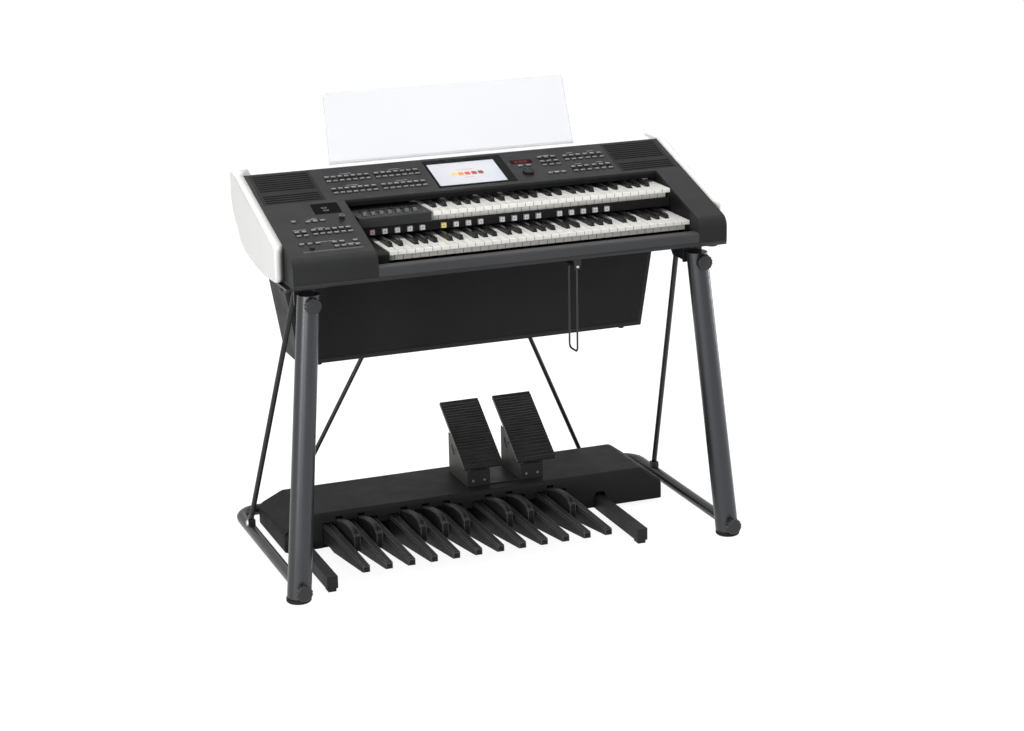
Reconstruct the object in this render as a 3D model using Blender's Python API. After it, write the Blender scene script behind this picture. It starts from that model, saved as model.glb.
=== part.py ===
"""Two-manual electronic organ on a tubular stand, with a pedalboard and two expression pedals.

Metres, +Z up, +Y to the rear. The origin is on the floor, in the middle of the footprint.
X runs along the keyboards, from the low notes to the high notes.
"""
from math import atan2, cos, pi, radians, sin, tan

import bmesh
import bpy
from mathutils import Matrix, Vector

# Clearances
GAP = 0.0003
SLIDE_GAP = 0.0005

# Keyboards
KEY_Y = -0.2651
KEY_SLOT = 0.0010
KEY_DEPTH = 0.0310
KEY_LIP = 0.0110
KEY_LIP_REACH = 0.0300
KEY_SWING_LENGTH = 0.1997
SHARP_WIDTH = 0.0110
SHARP_TOP_WIDTH = 0.0092
SHARP_HEIGHT = 0.0110
SHARP_FRONT = 0.0480
SHARP_SLOPE = 0.0060
SHARP_SIDE_GAP = 0.0012
SHARP_SHIFT = 0.0028
LOWER_NATURALS = 36
UPPER_NATURALS = 29
LOWER_KEY_Z = 0.8966
UPPER_KEY_Z = 0.9613
UPPER_SETBACK = 0.1240
KEY_SHALLOW = 0.0160
KEY_TAIL_DEPTH = 0.0140
KEY_STRIP_DEPTH = 0.0080
HINGE_SETBACK = 0.0030
HINGE_DROP = 0.0160

# Console
CONSOLE_HALF = 0.6020
CONSOLE_STEPS = 602
CONSOLE_OVERHANG = 0.0563
CONSOLE_BASE_Z = 0.8340
BASE_THICKNESS = 0.0120
BASE_CHAMFER = 0.0080
BASE_NARROW = 0.0300
BASE_STEP = 0.1100
PANEL_PITCH = radians(17.4)
PANEL_REACH = 0.3955
PANEL_REAR_Z = 1.0475
PANEL_SKIN = 0.0040
NOSE_RADIUS = 0.0320
NOSE_STEPS = 5
WELL_REAR = 0.2220
LOWER_VISIBLE = 0.1380
UPPER_VISIBLE = 0.1350
WELL_LIP = 0.0045
DUST_WALL = 0.0045
RAIL_HEIGHT = 0.0260
RAIL_DEPTH = 0.0320
RAIL_ROUND = 0.0060
SIDE_THICKNESS = 0.0240
COVER_DEPTH = 0.0515
COVER_TOP_Z = 1.0565
COVER_WALL = 0.0040
COVER_RETURN = 0.0220
COVER_CAP = 0.0100
FASCIA_THICKNESS = 0.0045
FASCIA_HEIGHT = 0.0240
END_BLOCK_RISE = 0.0030

# Places across the console, counted in steps of its half width
STEP = CONSOLE_HALF / CONSOLE_STEPS
WELL_LEFT = -377.0 * STEP
WELL_RIGHT = 521.0 * STEP
KEYS_RIGHT_X = 518.8 * STEP
KEY_PITCH = 23.57 * STEP

# Controls
BUTTON_TRAVEL = 0.0006
BUTTON_PROUD = 0.0026
POCKET_DEPTH = 0.0020
POCKET_MARGIN = 0.0014
CARRIER_THICKNESS = 0.0015
CARRIER_MARGIN = 0.0035
SMALL_BUTTON = (0.0120, 0.0062)
REGISTRATION_SIZE = 0.0150
REGISTRATION_PITCH = 34.6 * STEP
REGISTRATION_PROUD = 0.0030
REGISTRATION_TRAVEL = 0.0010
REGISTRATION_DROP = 0.0150
DIAL_RADIUS = 0.0155
DIAL_HEIGHT = 0.0080
VOLUME_RADIUS = 0.0085
VOLUME_HEIGHT = 0.0110
TRIM_RADIUS = 0.0070
TRIM_HEIGHT = 0.0050
FADER_TRAVEL = 0.0090

# Music rest
REST_HALF_BOTTOM = 0.3560
REST_HALF_TOP = 0.3490
REST_HEIGHT = 0.1930
REST_THICKNESS = 0.0050
REST_LEAN = radians(19.0)
REST_FOOT = 0.0085
REST_CORNER = 0.0080
REST_Y = 0.4180

# Speaker cabinet under the console
CABINET_FRONT = 0.2800
CABINET_DEPTH = 0.1620
CABINET_HEIGHT = 0.2930
CABINET_HALF_BOTTOM = 0.5000
CABINET_FLARE = 0.0480
CABINET_BOARD = 0.0120
CLOTH_THICKNESS = 0.0030
BAFFLE_THICKNESS = 0.0100
WOOFER_RADIUS = 0.0800
WOOFER_DEPTH = 0.0700
CABINET_FOOT_RADIUS = 0.0080
CABINET_FOOT_HEIGHT = 0.0060

# Stand
LEG_FOOT_X = 0.6206
LEG_FOOT_Y = -0.0357
LEG_TOP_X = 0.5451
LEG_TOP_Y = 0.0124
LEG_TOP_Z = 0.8060
LEG_FOOT_RADIUS = 0.0320
LEG_TOP_RADIUS = 0.0290
LEG_SIDES = 24
CAP_HEIGHT = 0.0120
CAP_OVERHANG = 0.0012
BAR_RADIUS = 0.0155
BAR_Z = 0.0360
BAR_REAR = 0.6030
BAR_BEND = 0.0600
REAR_FOOT_X = 0.4800
REAR_FOOT_RADIUS = 0.0160
STRUT_RADIUS = 0.0075
STRUT_TOP_Y = 0.1330
STRUT_TOP_Z = 0.8000
STRUT_FOOT_Y = 0.4470
LUG_HEIGHT = 0.0150
LUG_SIZE = 0.0200
BRACE_RADIUS = 0.0070
BRACE_TOP_X = 0.1000
BRACE_TOP_Z = 0.8000
BRACE_FOOT_X = 0.4480
BRACKET_PLATE = 0.0060
BRACKET_DROP = 0.0560
BRACKET_REACH = 0.1500
BRACKET_OUTER_X = 0.6140
BRACKET_INNER_X = 0.5060
KNOB_RADIUS = 0.0210
KNOB_LENGTH = 0.0220
KNOB_Z = 0.7840

# Knee lever
KNEE_X = 0.1880
KNEE_Y = 0.0270
KNEE_SPREAD = 0.0550
KNEE_WIRE = 0.0028
KNEE_AXIS_DROP = 0.0300
KNEE_DROP = 0.2350
KNEE_BEND = 0.0120
KNEE_BRACKET = (0.0600, 0.0800)
KNEE_PLATE = 0.0040

# Pedalboard
PEDAL_CASE_FRONT = 0.2800
PEDAL_CASE_BASE_Z = 0.0130
PEDAL_CASE_SHOULDER_Z = 0.0670
PEDAL_CASE_TOP_Z = 0.1130
PEDAL_CASE_HALF = 0.5660
PEDAL_CASE_TOP_HALF = 0.5050
PEDAL_CASE_DEPTH = 0.2850
PEDAL_CASE_TOP_DEPTH = 0.2500
PEDAL_CASE_WALL = 0.0040
PEDAL_FIRST_X = -0.4421
PEDAL_PITCH = 0.06272
PEDAL_NATURALS = 12
PEDAL_TIP_Y = -0.0630
PEDAL_TOP_Z = 0.0810
PEDAL_TIP_THICKNESS = 0.0200
PEDAL_TIP_HALF = 0.0110
PEDAL_BASE_HALF = 0.0150
PEDAL_SHARP_HALF = 0.0095
PEDAL_SHARP_FRONT = 0.1130
PEDAL_SHARP_TOP_Z = 0.1120
PEDAL_SHARP_LEDGE = 0.0080
PEDAL_SHARP_STEP = 0.0125
PEDAL_BELLY = 0.0507
PEDAL_HINGE_Y = 0.5450
PEDAL_HINGE_Z = 0.0600
PEDAL_TAIL_GAP = 0.0010
PEDAL_TAIL_HEIGHT = 0.0120
PEDAL_STRIP_DEPTH = 0.0090
PEDAL_FOOT_X = (-0.5220, 0.3700)
PEDAL_FOOT_HALF = 0.0150
PEDAL_FOOT_FRONT = -0.0150
PEDAL_FOOT_TOP_Z = 0.0440
PEDAL_PAD_HEIGHT = 0.0085

# Expression pedals
TREADLE_WIDTH = 0.1150
TREADLE_FIRST_X = -0.0290
TREADLE_STEP_X = 0.1610
TREADLE_HEEL_Y = 0.3100
TREADLE_HEEL_Z = 0.1740
TREADLE_PITCH = radians(35.2)
TREADLE_LENGTH = 0.2450
TREADLE_THICKNESS = 0.0120
TREADLE_RIB = 0.0022
TREADLE_PIVOT_Y = 0.4150
TREADLE_PIVOT_Z = 0.1980
TREADLE_BRACKET_WIDTH = 0.0680
TREADLE_BRACKET_INSET = 0.0110
TREADLE_BRACKET_FRONT = 0.3220
TREADLE_BRACKET_REAR = 0.4780
TREADLE_BRACKET_REAR_Z = 0.2320
TREADLE_BRACKET_PLATE = 0.0030
CHEEK_SLOT = (0.4390, 0.1905)
CHEEK_SLOT_REACH = 0.0120
CHEEK_SLOT_RADIUS = 0.0052
CHEEK_SLOT_LEAN = radians(42.0)
TRUNNION_RADIUS = 0.0040

# Inside the console
BOARD_ENDS = (-300.0 * STEP, 200.0 * STEP)
BOARD_SETBACK = 0.2250
BOARD_DEPTH = 0.0950
BOARD_THICKNESS = 0.0016
BOARD_LIFT = 0.0080
BOARD_MARGIN = (0.0200, 0.0120)
PILLAR_RADIUS = 0.0040
BOARD_CHIPS = ((-200.0, 0.0450, 30.0, 0.0300, 0.0040), (-50.0, 0.0500, 36.0, 0.0360, 0.0040),
               (80.0, 0.0450, 60.0, 0.0200, 0.0120))
POWER_ENDS = (-575.0 * STEP, -415.0 * STEP)
POWER_REACH = (0.1500, 0.2600)
POWER_HEIGHT = 0.0450

# Derived places
FRONT_Y = KEY_Y - CONSOLE_OVERHANG
PANEL_REAR_Y = KEY_Y + PANEL_REACH
COVER_REAR_Y = PANEL_REAR_Y + COVER_DEPTH
UPPER_KEY_Y = KEY_Y + UPPER_SETBACK
CASE_FLOOR_Z = CONSOLE_BASE_Z + BASE_THICKNESS
CASE_BOTTOM_Z = CASE_FLOOR_Z + GAP
FASCIA_Y = KEY_Y + LOWER_VISIBLE - 0.002
FASCIA_BOTTOM_Z = LOWER_KEY_Z + SHARP_HEIGHT + 0.0029
FASCIA_TOP_Z = FASCIA_BOTTOM_Z + FASCIA_HEIGHT
DUST_Y = UPPER_KEY_Y + UPPER_VISIBLE
SWING_LOWER_Y = KEY_Y + KEY_SWING_LENGTH + HINGE_SETBACK
SWING_UPPER_Y = UPPER_KEY_Y + KEY_SWING_LENGTH + HINGE_SETBACK
CABINET_Y = KEY_Y + CABINET_FRONT
PEDAL_CASE_Y = KEY_Y + PEDAL_CASE_FRONT


def panel_height(y):
    """Height of the sloping control panel at a distance y in the part's frame."""
    return PANEL_REAR_Z - (PANEL_REAR_Y - y) * tan(PANEL_PITCH)


PANEL_FRAME = (Matrix.Translation((0.0, KEY_Y, panel_height(KEY_Y)))
               @ Matrix.Rotation(PANEL_PITCH, 4, 'X'))
PANEL_NORMAL = Vector((0.0, -sin(PANEL_PITCH), cos(PANEL_PITCH)))


def clear_scene():
    for obj in list(bpy.data.objects):
        bpy.data.objects.remove(obj, do_unlink=True)


def make_material(name, color, roughness, metallic=0.0, transmission=0.0):
    material = bpy.data.materials.new(name)
    material.use_nodes = True
    shader = material.node_tree.nodes["Principled BSDF"]
    shader.inputs["Base Color"].default_value = (*color, 1.0)
    shader.inputs["Roughness"].default_value = roughness
    shader.inputs["Metallic"].default_value = metallic
    shader.inputs["Transmission Weight"].default_value = transmission
    material.diffuse_color = (*color, 1.0)
    return material


def make_materials():
    return {
        "case": make_material("case_black", (0.040, 0.040, 0.042), 0.45),
        "shell": make_material("shell_white", (0.800, 0.795, 0.775), 0.35),
        "natural": make_material("key_white", (0.820, 0.810, 0.770), 0.25),
        "sharp": make_material("key_black", (0.012, 0.012, 0.013), 0.30),
        "button": make_material("button_grey", (0.450, 0.450, 0.460), 0.45),
        "register": make_material("button_white", (0.780, 0.770, 0.800), 0.35),
        "knob": make_material("knob_black", (0.015, 0.015, 0.016), 0.50),
        "screen": make_material("screen_pale", (0.820, 0.830, 0.850), 0.15),
        "window": make_material("window_red", (0.100, 0.004, 0.006), 0.10),
        "acrylic": make_material("rest_clear", (0.870, 0.885, 0.920), 0.08, 0.0, 0.6),
        "leg": make_material("leg_metal", (0.075, 0.077, 0.085), 0.32, 0.7),
        "tube": make_material("tube_black", (0.020, 0.020, 0.022), 0.40, 0.4),
        "steel": make_material("steel_bright", (0.550, 0.550, 0.560), 0.30, 1.0),
        "board": make_material("cabinet_black", (0.022, 0.022, 0.025), 0.60),
        "cloth": make_material("speaker_cloth", (0.016, 0.017, 0.019), 0.95),
        "cone": make_material("speaker_cone", (0.030, 0.030, 0.032), 0.80),
        "circuit": make_material("circuit_green", (0.020, 0.120, 0.050), 0.50),
        "rubber": make_material("rubber_black", (0.012, 0.012, 0.012), 0.85),
    }


def finish(name, bm, material, origin=(0.0, 0.0, 0.0), rotation_x=0.0, smooth=False):
    """Turn a mesh under construction into a named object whose origin is on its own axis."""
    place = Matrix.Translation(origin) @ Matrix.Rotation(rotation_x, 4, 'X')
    bmesh.ops.transform(bm, matrix=place.inverted(), verts=bm.verts)
    bmesh.ops.recalc_face_normals(bm, faces=bm.faces)
    mesh = bpy.data.meshes.new(name)
    bm.to_mesh(mesh)
    bm.free()
    mesh.materials.append(material)
    if smooth:
        mesh.shade_smooth()
        mesh.set_sharp_from_angle(angle=radians(35.0))
    obj = bpy.data.objects.new(name, mesh)
    obj.location = origin
    obj.rotation_euler = (rotation_x, 0.0, 0.0)
    bpy.context.scene.collection.objects.link(obj)
    return obj


def shape_with(obj, bm, operation):
    """Join or cut an object with a hidden tool body."""
    tool = finish(obj.name + "_tool", bm, obj.data.materials[0])
    tool.hide_render = True
    tool.hide_set(True)
    tool.display_type = 'WIRE'
    modifier = obj.modifiers.new(operation.lower(), 'BOOLEAN')
    modifier.operation = operation
    modifier.object = tool
    modifier.solver = 'EXACT'
    return obj


def add_loft(bm, rings):
    """Skin closed rings of points, with the first and last ring as end caps."""
    rows = [[bm.verts.new(point) for point in ring] for ring in rings]
    count = len(rows[0])
    for low, high in zip(rows[:-1], rows[1:]):
        for index in range(count):
            after = (index + 1) % count
            bm.faces.new((low[index], low[after], high[after], high[index]))
    bm.faces.new(rows[0][::-1])
    bm.faces.new(rows[-1])
    return rows


def add_box(bm, x0, x1, y0, y1, z0, z1, frame=Matrix.Identity(4)):
    ring = ((x0, y0), (x1, y0), (x1, y1), (x0, y1))
    rings = [[frame @ Vector((x, y, z)) for x, y in ring] for z in (z0, z1)]
    return add_loft(bm, rings)


def add_along_x(bm, profile, x0, x1):
    """Extrude a (y, z) outline along X."""
    return add_loft(bm, [[(x, y, z) for y, z in profile] for x in (x0, x1)])


def add_along_y(bm, profile, y0, y1):
    """Extrude an (x, z) outline along Y."""
    return add_loft(bm, [[(x, y, z) for x, z in profile] for y in (y0, y1)])


def add_along_z(bm, outline, z0, z1):
    """Extrude an (x, y) outline along Z."""
    return add_loft(bm, [[(x, y, z) for x, y in outline] for z in (z0, z1)])


def circle(radius, sides, start=0.0):
    return [(radius * cos(start + 2.0 * pi * step / sides),
             radius * sin(start + 2.0 * pi * step / sides)) for step in range(sides)]


def add_turned(bm, profile, sides, frame):
    """Stack circles of (radius, height) along the frame's Z axis."""
    rings = []
    for radius, height in profile:
        rings.append([frame @ Vector((x, y, height)) for x, y in circle(radius, sides)])
    return add_loft(bm, rings)


def add_leaning_rod(bm, foot, top, foot_radius, top_radius, sides):
    """A straight rod whose two ends are cut level."""
    rings = []
    for centre, radius in ((foot, foot_radius), (top, top_radius)):
        rings.append([(centre[0] + x, centre[1] + y, centre[2]) for x, y in circle(radius, sides)])
    return add_loft(bm, rings)


def add_sweep(bm, path, radius, sides):
    """A round bar along a path of points, with each ring on the bisecting plane."""
    points = [Vector(point) for point in path]
    rings = []
    side = None
    for index, point in enumerate(points):
        before = points[max(index - 1, 0)]
        after = points[min(index + 1, len(points) - 1)]
        incoming = (point - before).normalized() if index else (after - point).normalized()
        outgoing = (after - point).normalized() if index < len(points) - 1 else incoming
        tangent = (incoming + outgoing).normalized()
        if side is None:
            helper = Vector((0.0, 0.0, 1.0)) if abs(tangent.z) < 0.9 else Vector((0.0, 1.0, 0.0))
            side = tangent.cross(helper).normalized()
        side = (side - tangent * side.dot(tangent)).normalized()
        up = tangent.cross(side)
        spread = 1.0 / max(tangent.dot(incoming), 0.5)
        bend = outgoing - incoming
        across = bend.normalized() if bend.length > 1e-6 else side
        ring = []
        for x, y in circle(radius, sides):
            offset = side * x + up * y
            offset += across * offset.dot(across) * (spread - 1.0)
            ring.append(point + offset)
        rings.append(ring)
    return add_loft(bm, rings)


def arc(centre_a, centre_b, radius, start, end, steps):
    """Points on an arc, both ends included, as (a, b) pairs."""
    return [(centre_a + radius * cos(start + (end - start) * step / steps),
             centre_b + radius * sin(start + (end - start) * step / steps))
            for step in range(steps + 1)]


def facing(direction, origin):
    """A frame at origin whose Z axis points along direction."""
    rotation = Vector(direction).to_track_quat('Z', 'Y').to_matrix().to_4x4()
    return Matrix.Translation(origin) @ rotation


def nose_profile(inset):
    """Outline of the console's dark case in (y, z), moved inwards by inset."""
    front = FRONT_Y + inset
    rise = inset / cos(PANEL_PITCH)
    radius = NOSE_RADIUS - inset
    slope = PANEL_PITCH
    centre_y = FRONT_Y + NOSE_RADIUS
    centre_z = panel_height(centre_y) - NOSE_RADIUS / cos(slope)
    curve = arc(centre_y, centre_z, radius, pi, pi / 2.0 + slope, NOSE_STEPS)
    rear = PANEL_REAR_Y - inset
    top = panel_height(rear) - rise
    bottom = CASE_BOTTOM_Z if inset == 0.0 else CONSOLE_BASE_Z
    return [(front, bottom)] + curve + [(rear, top), (rear, bottom)]


def skin_under(y):
    """Height of the inner face of the control panel's skin."""
    return panel_height(y) - PANEL_SKIN / cos(PANEL_PITCH)


# Places of the small panel buttons: (x of each column), (s of each row) up the slope
def spread(first, step, count):
    return [first + step * index for index in range(count)]


def columns(first, step, count):
    """Places across the console, both numbers in steps of its half width."""
    return spread(first * STEP, step * STEP, count)


VOICE_ROWS = (0.3600, 0.3380, 0.2945, 0.2720)
VOICE_CLUSTERS = [
    (columns(-387.5, 18.4, 7), VOICE_ROWS[0:2]),
    (columns(-249.0, 18.4, 7), VOICE_ROWS[0:2]),
    (columns(-387.5, 18.4, 7), VOICE_ROWS[2:4]),
    (columns(-249.0, 18.4, 7), VOICE_ROWS[2:4]),
]
FUNCTION_CLUSTERS = [
    (columns(225.0, 20.0, 3), (0.3640, 0.3400, 0.3190)),
    (columns(223.0, 19.5, 3), (0.2720,)),
    (columns(299.0, 20.0, 3), VOICE_ROWS[0:2]),
    (columns(361.0, 20.5, 3), VOICE_ROWS[0:2]),
    (columns(299.0, 20.0, 3), VOICE_ROWS[2:4]),
    (columns(361.0, 20.5, 3), VOICE_ROWS[2:4]),
    (columns(155.0, 24.0, 2), (0.3260,)),
]
BLOCK_CLUSTERS = [
    (columns(-541.0, 18.0, 1), (0.1430,)),
    (columns(-504.0, 19.5, 3), (0.1360,)),
    (columns(-548.0, 19.0, 2), (0.0870, 0.0680)),
    (columns(-503.0, 18.6, 6), (0.0905, 0.0700)),
    (columns(-553.0, 21.5, 3), (0.0250,)),
    (columns(-467.0, 19.0, 2), (0.0220,)),
    (columns(-412.0, 19.0, 1), (0.0220,)),
    (columns(-467.0, 18.3, 4), (0.0010,)),
]
SCREEN_WINDOW = (-100.0 * STEP, 94.0 * STEP, 0.2570, 0.3830)
BEZEL = (-106.0 * STEP, 119.0 * STEP, 0.2500, 0.4020)
NUMBER_WINDOW = (134.0 * STEP, 198.0 * STEP, 0.3410, 0.3620)
DIAL_PLACE = (163.0 * STEP, 0.2870)
VOLUME_PLACE = (-413.0 * STEP, 0.1380)
TRIM_PLACE = (-533.0 * STEP, 0.0020)
SOCKET_POCKET = (-474.0 * STEP, -401.0 * STEP, 0.1710, 0.2270)
GRILLE = (424.0 * STEP, 590.0 * STEP, 0.2440, 0.4060)
GRILLE_GROUPS = ((0.3160, 8), (0.2520, 4))
GRILLE_SLOT_PITCH = 0.0115
GRILLE_SLOT_HALF = 0.0030
GRILLE_EDGE = 0.0070


def cluster_pocket(cluster):
    places, rows = cluster
    half_x = SMALL_BUTTON[0] / 2.0 + POCKET_MARGIN
    half_s = SMALL_BUTTON[1] / 2.0 + POCKET_MARGIN
    return (min(places) - half_x, max(places) + half_x, min(rows) - half_s, max(rows) + half_s)


def build_upper_case(materials):
    """The dark moulded top: two end blocks and the rear panel around the keyboard well."""
    bm = bmesh.new()
    add_along_x(bm, nose_profile(0.0), -CONSOLE_HALF, CONSOLE_HALF)
    case = finish("upper_case", bm, materials["case"])
    inner = nose_profile(PANEL_SKIN)
    bm = bmesh.new()
    add_along_x(bm, inner, -CONSOLE_HALF + PANEL_SKIN, WELL_LEFT - PANEL_SKIN)
    add_along_x(bm, inner, WELL_RIGHT + PANEL_SKIN, CONSOLE_HALF - PANEL_SKIN)
    shape_with(case, bm, 'DIFFERENCE')
    bm = bmesh.new()
    add_box(bm, WELL_LEFT, WELL_RIGHT, FRONT_Y - 0.01, KEY_Y + WELL_REAR,
            CONSOLE_BASE_Z, PANEL_REAR_Z + 0.02)
    shape_with(case, bm, 'DIFFERENCE')
    wall_bottom = UPPER_KEY_Z + SHARP_HEIGHT + 0.002
    lip_y = KEY_Y + WELL_REAR + WELL_LIP
    recess = [(lip_y, wall_bottom - 0.001), (lip_y, skin_under(lip_y)),
              (lip_y + WELL_LIP, skin_under(lip_y + WELL_LIP)), (DUST_Y, wall_bottom - 0.001)]
    bm = bmesh.new()
    add_along_x(bm, recess, WELL_LEFT, WELL_RIGHT)
    shape_with(case, bm, 'DIFFERENCE')
    wall_back = DUST_Y + DUST_WALL
    hollow_top = lip_y + WELL_LIP + DUST_WALL
    behind = [(wall_back, CONSOLE_BASE_Z), (wall_back, wall_bottom),
              (hollow_top, skin_under(hollow_top))] + inner[-2:]
    bm = bmesh.new()
    add_along_x(bm, behind, -CONSOLE_HALF + PANEL_SKIN, CONSOLE_HALF - PANEL_SKIN)
    shape_with(case, bm, 'DIFFERENCE')
    bm = bmesh.new()
    add_box(bm, WELL_LEFT, WELL_RIGHT, FRONT_Y - 0.01, PANEL_REAR_Y - 2.0 * PANEL_SKIN,
            CONSOLE_BASE_Z, wall_bottom)
    shape_with(case, bm, 'DIFFERENCE')
    bm = bmesh.new()
    for cluster in VOICE_CLUSTERS + FUNCTION_CLUSTERS + BLOCK_CLUSTERS:
        add_box(bm, *cluster_pocket(cluster), -2.0 * PANEL_SKIN, 0.001, PANEL_FRAME)
    add_box(bm, *SOCKET_POCKET, -POCKET_DEPTH, 0.001, PANEL_FRAME)
    shape_with(case, bm, 'DIFFERENCE')
    bm = bmesh.new()
    add_box(bm, *BEZEL, -2.0 * PANEL_SKIN, 0.001, PANEL_FRAME)
    add_box(bm, *NUMBER_WINDOW, -2.0 * PANEL_SKIN, 0.001, PANEL_FRAME)
    for side in (-1.0, 1.0):
        x0, x1 = sorted((side * GRILLE[0], side * GRILLE[1]))
        add_box(bm, x0, x1, GRILLE[2], GRILLE[3], -2.0 * PANEL_SKIN, 0.001, PANEL_FRAME)
    shape_with(case, bm, 'DIFFERENCE')
    return case


def build_grille(materials, side, name):
    """A louvred insert in the panel, over one of the small loudspeakers."""
    slots = []
    for first, count in GRILLE_GROUPS:
        slots += spread(first, GRILLE_SLOT_PITCH, count)
    inner_x = side * (GRILLE[0] + GAP)
    outer_x = side * (GRILLE[1] - GAP)
    bm = bmesh.new()
    add_box(bm, *sorted((inner_x, outer_x)), GRILLE[2] + GAP, GRILLE[3] - GAP, -PANEL_SKIN, 0.0,
            PANEL_FRAME)
    grille = finish(name, bm, materials["case"])
    x0, x1 = sorted((inner_x + side * GRILLE_EDGE, outer_x - side * GRILLE_EDGE))
    lean = PANEL_SKIN
    bm = bmesh.new()
    for s in slots:
        low = s - GRILLE_SLOT_HALF - lean / 2.0
        high = s + GRILLE_SLOT_HALF - lean / 2.0
        outline = ((low, -PANEL_SKIN - lean / 2.0), (high, -PANEL_SKIN - lean / 2.0),
                   (high + lean, lean / 2.0), (low + lean, lean / 2.0))
        add_loft(bm, [[PANEL_FRAME @ Vector((x, a, b)) for a, b in outline] for x in (x0, x1)])
    shape_with(grille, bm, 'DIFFERENCE')
    return grille


def build_console_speaker(materials, side, name):
    """A small loudspeaker that hangs under a louvred insert: its cone faces the slots."""
    middle = side * (GRILLE[0] + GRILLE[1]) / 2.0
    height = (GRILLE[2] + GRILLE[3]) / 2.0
    place = PANEL_FRAME @ Matrix.Translation((middle, height, -PANEL_SKIN - GAP))
    bm = bmesh.new()
    add_turned(bm, ((0.012, 0.014), (0.042, 0.002), (0.050, 0.0), (0.050, 0.004), (0.036, 0.016),
                    (0.022, 0.024), (0.022, 0.042)), 16, place @ Matrix.Rotation(pi, 4, 'X'))
    return finish(name, bm, materials["cone"], smooth=True)


def build_bottom_case(materials):
    """The base board, chamfered along its front, narrower behind the end blocks."""
    narrow = CONSOLE_HALF - BASE_NARROW
    step = KEY_Y + BASE_STEP
    rear = COVER_REAR_Y - COVER_WALL - GAP
    outline = [(-CONSOLE_HALF, FRONT_Y), (CONSOLE_HALF, FRONT_Y), (CONSOLE_HALF, step),
               (narrow, step + BASE_NARROW), (narrow, rear), (-narrow, rear),
               (-narrow, step + BASE_NARROW), (-CONSOLE_HALF, step)]
    bm = bmesh.new()
    rows = add_along_z(bm, outline, CONSOLE_BASE_Z, CASE_FLOOR_Z)
    edge = bm.edges.get((rows[0][0], rows[0][1]))
    bmesh.ops.bevel(bm, geom=[edge], offset=BASE_CHAMFER, segments=1, affect='EDGES')
    return finish("bottom_case", bm, materials["case"])


def build_front_rail(materials):
    """The key slip that closes the front of the keyboard well."""
    top = CASE_BOTTOM_Z + RAIL_HEIGHT
    back = FRONT_Y + RAIL_DEPTH
    round_in = arc(FRONT_Y + RAIL_ROUND, top - RAIL_ROUND, RAIL_ROUND, pi, pi / 2.0, 4)
    profile = [(FRONT_Y, CASE_BOTTOM_Z)] + round_in + [(back, top), (back, CASE_BOTTOM_Z)]
    bm = bmesh.new()
    add_along_x(bm, profile, WELL_LEFT + GAP, WELL_RIGHT - GAP)
    return finish("front_rail", bm, materials["case"], smooth=True)


def cover_arc():
    """The rounded top rear edge that the cover and the side panels share."""
    radius = 0.014
    return arc(COVER_REAR_Y - radius, COVER_TOP_Z - radius, radius, pi / 2.0, 0.0, 4)


def rest_frame():
    """Frame on the music rest's foot, its Z axis up the leaning pane."""
    foot_z = COVER_TOP_Z - 0.003
    return (Matrix.Translation((0.0, KEY_Y + REST_Y, foot_z))
            @ Matrix.Rotation(-REST_LEAN, 4, 'X'))


def build_rear_cover(materials):
    """The pale back shell, closed at its ends, with the groove that the music rest stands in."""
    front = PANEL_REAR_Y + GAP
    profile = [(front, CASE_BOTTOM_Z), (front, PANEL_REAR_Z)] + cover_arc()
    profile += [(COVER_REAR_Y, CASE_BOTTOM_Z)]
    half = CONSOLE_HALF - COVER_RETURN - GAP
    bm = bmesh.new()
    add_along_x(bm, profile, -half, half)
    cover = finish("rear_cover", bm, materials["shell"])
    inside = half - COVER_WALL
    bm = bmesh.new()
    add_box(bm, -inside, inside, front - 0.010, COVER_REAR_Y - COVER_WALL, CASE_BOTTOM_Z - 0.010,
            PANEL_REAR_Z - COVER_CAP)
    shape_with(cover, bm, 'DIFFERENCE')
    bm = bmesh.new()
    slot = REST_THICKNESS / 2.0 + GAP
    reach = REST_HALF_BOTTOM + 0.001
    add_box(bm, -reach, reach, -slot, slot, -REST_FOOT, 0.030, rest_frame())
    shape_with(cover, bm, 'DIFFERENCE')
    return cover


def side_profile():
    """Outline of a pale side panel in (y, z): swept-up underside, sloping top."""
    front = KEY_Y + 0.025
    low = CONSOLE_BASE_Z + 0.002
    corner = 0.015
    under = [(front, low + corner), (front + 0.004, low + 0.004), (front + corner, low)]
    sweep = [(KEY_Y + 0.130, low), (KEY_Y + 0.230, low + 0.008), (KEY_Y + 0.330, low + 0.022),
             (KEY_Y + 0.365, low + 0.040), (KEY_Y + 0.434, low + 0.110),
             (COVER_REAR_Y, low + 0.141)]
    back = cover_arc()[::-1]
    top = [(PANEL_REAR_Y, PANEL_REAR_Z)]
    nose = arc(front + corner, panel_height(front + corner) - corner / cos(PANEL_PITCH), corner,
               pi / 2.0 + PANEL_PITCH, pi, 3)
    return under + sweep + back + top + nose


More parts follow.
